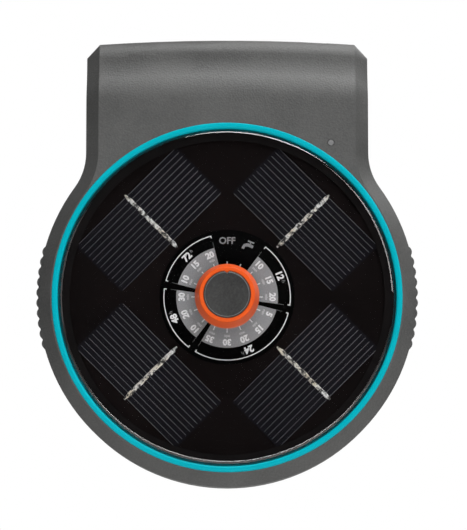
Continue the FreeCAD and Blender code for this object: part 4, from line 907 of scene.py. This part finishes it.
SHELF_BELOW_DIAL = 44.0 * MM
shelf = DIAL_Z - SHELF_BELOW_DIAL
BORE, STEM, TOOTH, COLLAR, COLLAR_THICK, TEETH = 1.4 * MM, 2.2 * MM, 2.7 * MM, 3.8 * MM, 2.0 * MM, 3
COLLAR_EDGE, MOUTH_EDGE, TOOTH_EDGE, TOOTH_LEDGE = 0.3 * MM, 0.15 * MM, 0.12 * MM, 0.05 * MM
TOOTH_RISE, TOOTH_TIP = 0.92, 0.97
BARB_STEPS = 40
for node in ("suction_barb", "delivery_barb"):
    low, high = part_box(node)
    centre = Vector(((low.x + high.x) / 2, (low.y + high.y) / 2, 0))
    barb_low, barb_high = low.z, shelf - COLLAR_THICK
    pitch = (barb_high - barb_low) / (TEETH + 1)
    profile = [(BORE, barb_low), (STEM - MOUTH_EDGE, barb_low), (STEM, barb_low + MOUTH_EDGE)]
    for tooth in range(TEETH):
        foot = barb_low + tooth * pitch
        profile += [(TOOTH - TOOTH_EDGE, foot + pitch * TOOTH_RISE), (TOOTH, foot + pitch * TOOTH_TIP),
                    (TOOTH, foot + pitch), (STEM, foot + pitch + TOOTH_LEDGE)]
    profile += [
        (STEM, barb_high - COLLAR_EDGE), (STEM + COLLAR_EDGE, barb_high), (COLLAR - COLLAR_EDGE, barb_high),
        (COLLAR, barb_high + COLLAR_EDGE), (COLLAR, shelf - COLLAR_EDGE), (COLLAR - COLLAR_EDGE, shelf),
        (STEM, shelf), (STEM, high.z), (BORE, high.z),
    ]
    barb = turned(profile, BARB_STEPS, centre, Vector((0, 0, 1)))
    piece = set_piece(node + "_ribbed", as_mesh(barb, node + "_ribbed"), [PUMP_BLACK], "case",
                      [node])
    piece.data.set_sharp_from_angle(angle=SHARP_TURN)

# ---------------------------------------------------------------------------------------------------------
# Studio. A pale floor well below the hanging timer, and white surroundings. An overhead softbox does most of
# the work, with weaker fills in front, beside and behind, and a low reflector for the window's lower rim. The
# camera has a long lens and stands a little below the dial's axis.

FLOOR_Z, FLOOR_HALF = -0.42, 4.0
floor_shape = bmesh.new()
bmesh.ops.create_grid(floor_shape, x_segments=2, y_segments=2, size=FLOOR_HALF)
bmesh.ops.translate(floor_shape, vec=(0, 0, FLOOR_Z), verts=floor_shape.verts)
floor = bpy.data.objects.new("floor", as_mesh(floor_shape, "floor"))
bpy.context.scene.collection.objects.link(floor)
FLOOR_GLOW, AMBIENT_GLOW = 0.5, 0.12
floor_finish, floor_tree, floor_shader, floor_place = new_finish("floor_pale")
floor_tree.links.new(blended(floor_tree, noise_at(floor_tree, floor_place, 6.0), (0.72, 0.72, 0.71),
                             (0.76, 0.76, 0.75)), floor_shader.inputs["Base Color"])
floor_shader.inputs["Roughness"].default_value = 0.9
floor_shader.inputs["Emission Color"].default_value = (1, 1, 0.99, 1)
floor_path = floor_tree.nodes.new("ShaderNodeLightPath")
floor_tree.links.new(calculated(floor_tree, "MULTIPLY", floor_path.outputs["Is Camera Ray"], FLOOR_GLOW),
                     floor_shader.inputs["Emission Strength"])
floor.data.materials.append(floor_finish)

scene = bpy.context.scene
scene.view_settings.view_transform = "Standard"
WHITE = (1, 1, 1, 1)
surroundings = bpy.data.worlds.new("surroundings")
surroundings.use_nodes = True
sky = surroundings.node_tree
seen = sky.nodes["Background"]
seen.inputs["Color"].default_value = WHITE
seen.inputs["Strength"].default_value = 1.0
ambient = sky.nodes.new("ShaderNodeBackground")
ambient.inputs["Color"].default_value = WHITE
ambient.inputs["Strength"].default_value = AMBIENT_GLOW
sky_path = sky.nodes.new("ShaderNodeLightPath")
either_sky = sky.nodes.new("ShaderNodeMixShader")
sky.links.new(sky_path.outputs["Is Camera Ray"], either_sky.inputs[0])
sky.links.new(ambient.outputs[0], either_sky.inputs[1])
sky.links.new(seen.outputs[0], either_sky.inputs[2])
sky.links.new(either_sky.outputs[0], sky.nodes["World Output"].inputs["Surface"])
scene.world = surroundings
surroundings.cycles_visibility.glossy = False
surroundings.cycles_visibility.transmission = False

AIM_RIGHT, AIM_ABOVE_DIAL = 2.7 * MM, 13.3 * MM
AIM = Vector((AIM_RIGHT, FACE_Y, DIAL_Z + AIM_ABOVE_DIAL))


def softbox(name, place, wide, high, watts, fan=math.pi):
    """A rectangular lamp turned towards the timer."""
    lamp = bpy.data.lights.new(name, "AREA")
    lamp.shape = "RECTANGLE"
    lamp.size, lamp.size_y = wide, high
    lamp.energy = watts
    lamp.spread = fan
    holder = bpy.data.objects.new(name, lamp)
    holder.location = place
    holder.rotation_mode = "QUATERNION"
    holder.rotation_quaternion = (AIM - Vector(place)).to_track_quat("-Z", "Y")
    holder.visible_transmission = False
    scene.collection.objects.link(holder)


softbox("overhead_softbox", (0.27, -0.20, 0.74), 1.2, 0.6, 13.5)
softbox("front_fill", (0.9, -1.3, 0.45), 0.8, 0.8, 6.0)
softbox("side_fill", (-1.1, -1.0, 0.2), 0.8, 0.8, 1.2)
softbox("back_fill", (0.5, 1.2, 0.55), 0.8, 0.8, 7.0)
softbox("low_reflector", (0.0, -0.75, -0.36), 0.8, 0.14, 0.5, math.radians(100))

CAMERA_BELOW, CAMERA_FAR = math.radians(5.8), 1.2417
view = bpy.data.cameras.new("view")
view.lens = 200
view.sensor_width = 36
view.clip_start, view.clip_end = 0.05, 20
camera = bpy.data.objects.new("view", view)
towards = Vector((0, math.cos(CAMERA_BELOW), math.sin(CAMERA_BELOW)))
camera.location = AIM - towards * CAMERA_FAR
camera.rotation_mode = "QUATERNION"
camera.rotation_quaternion = towards.to_track_quat("-Z", "Y")
scene.collection.objects.link(camera)
scene.camera = camera

bpy.context.view_layer.update()
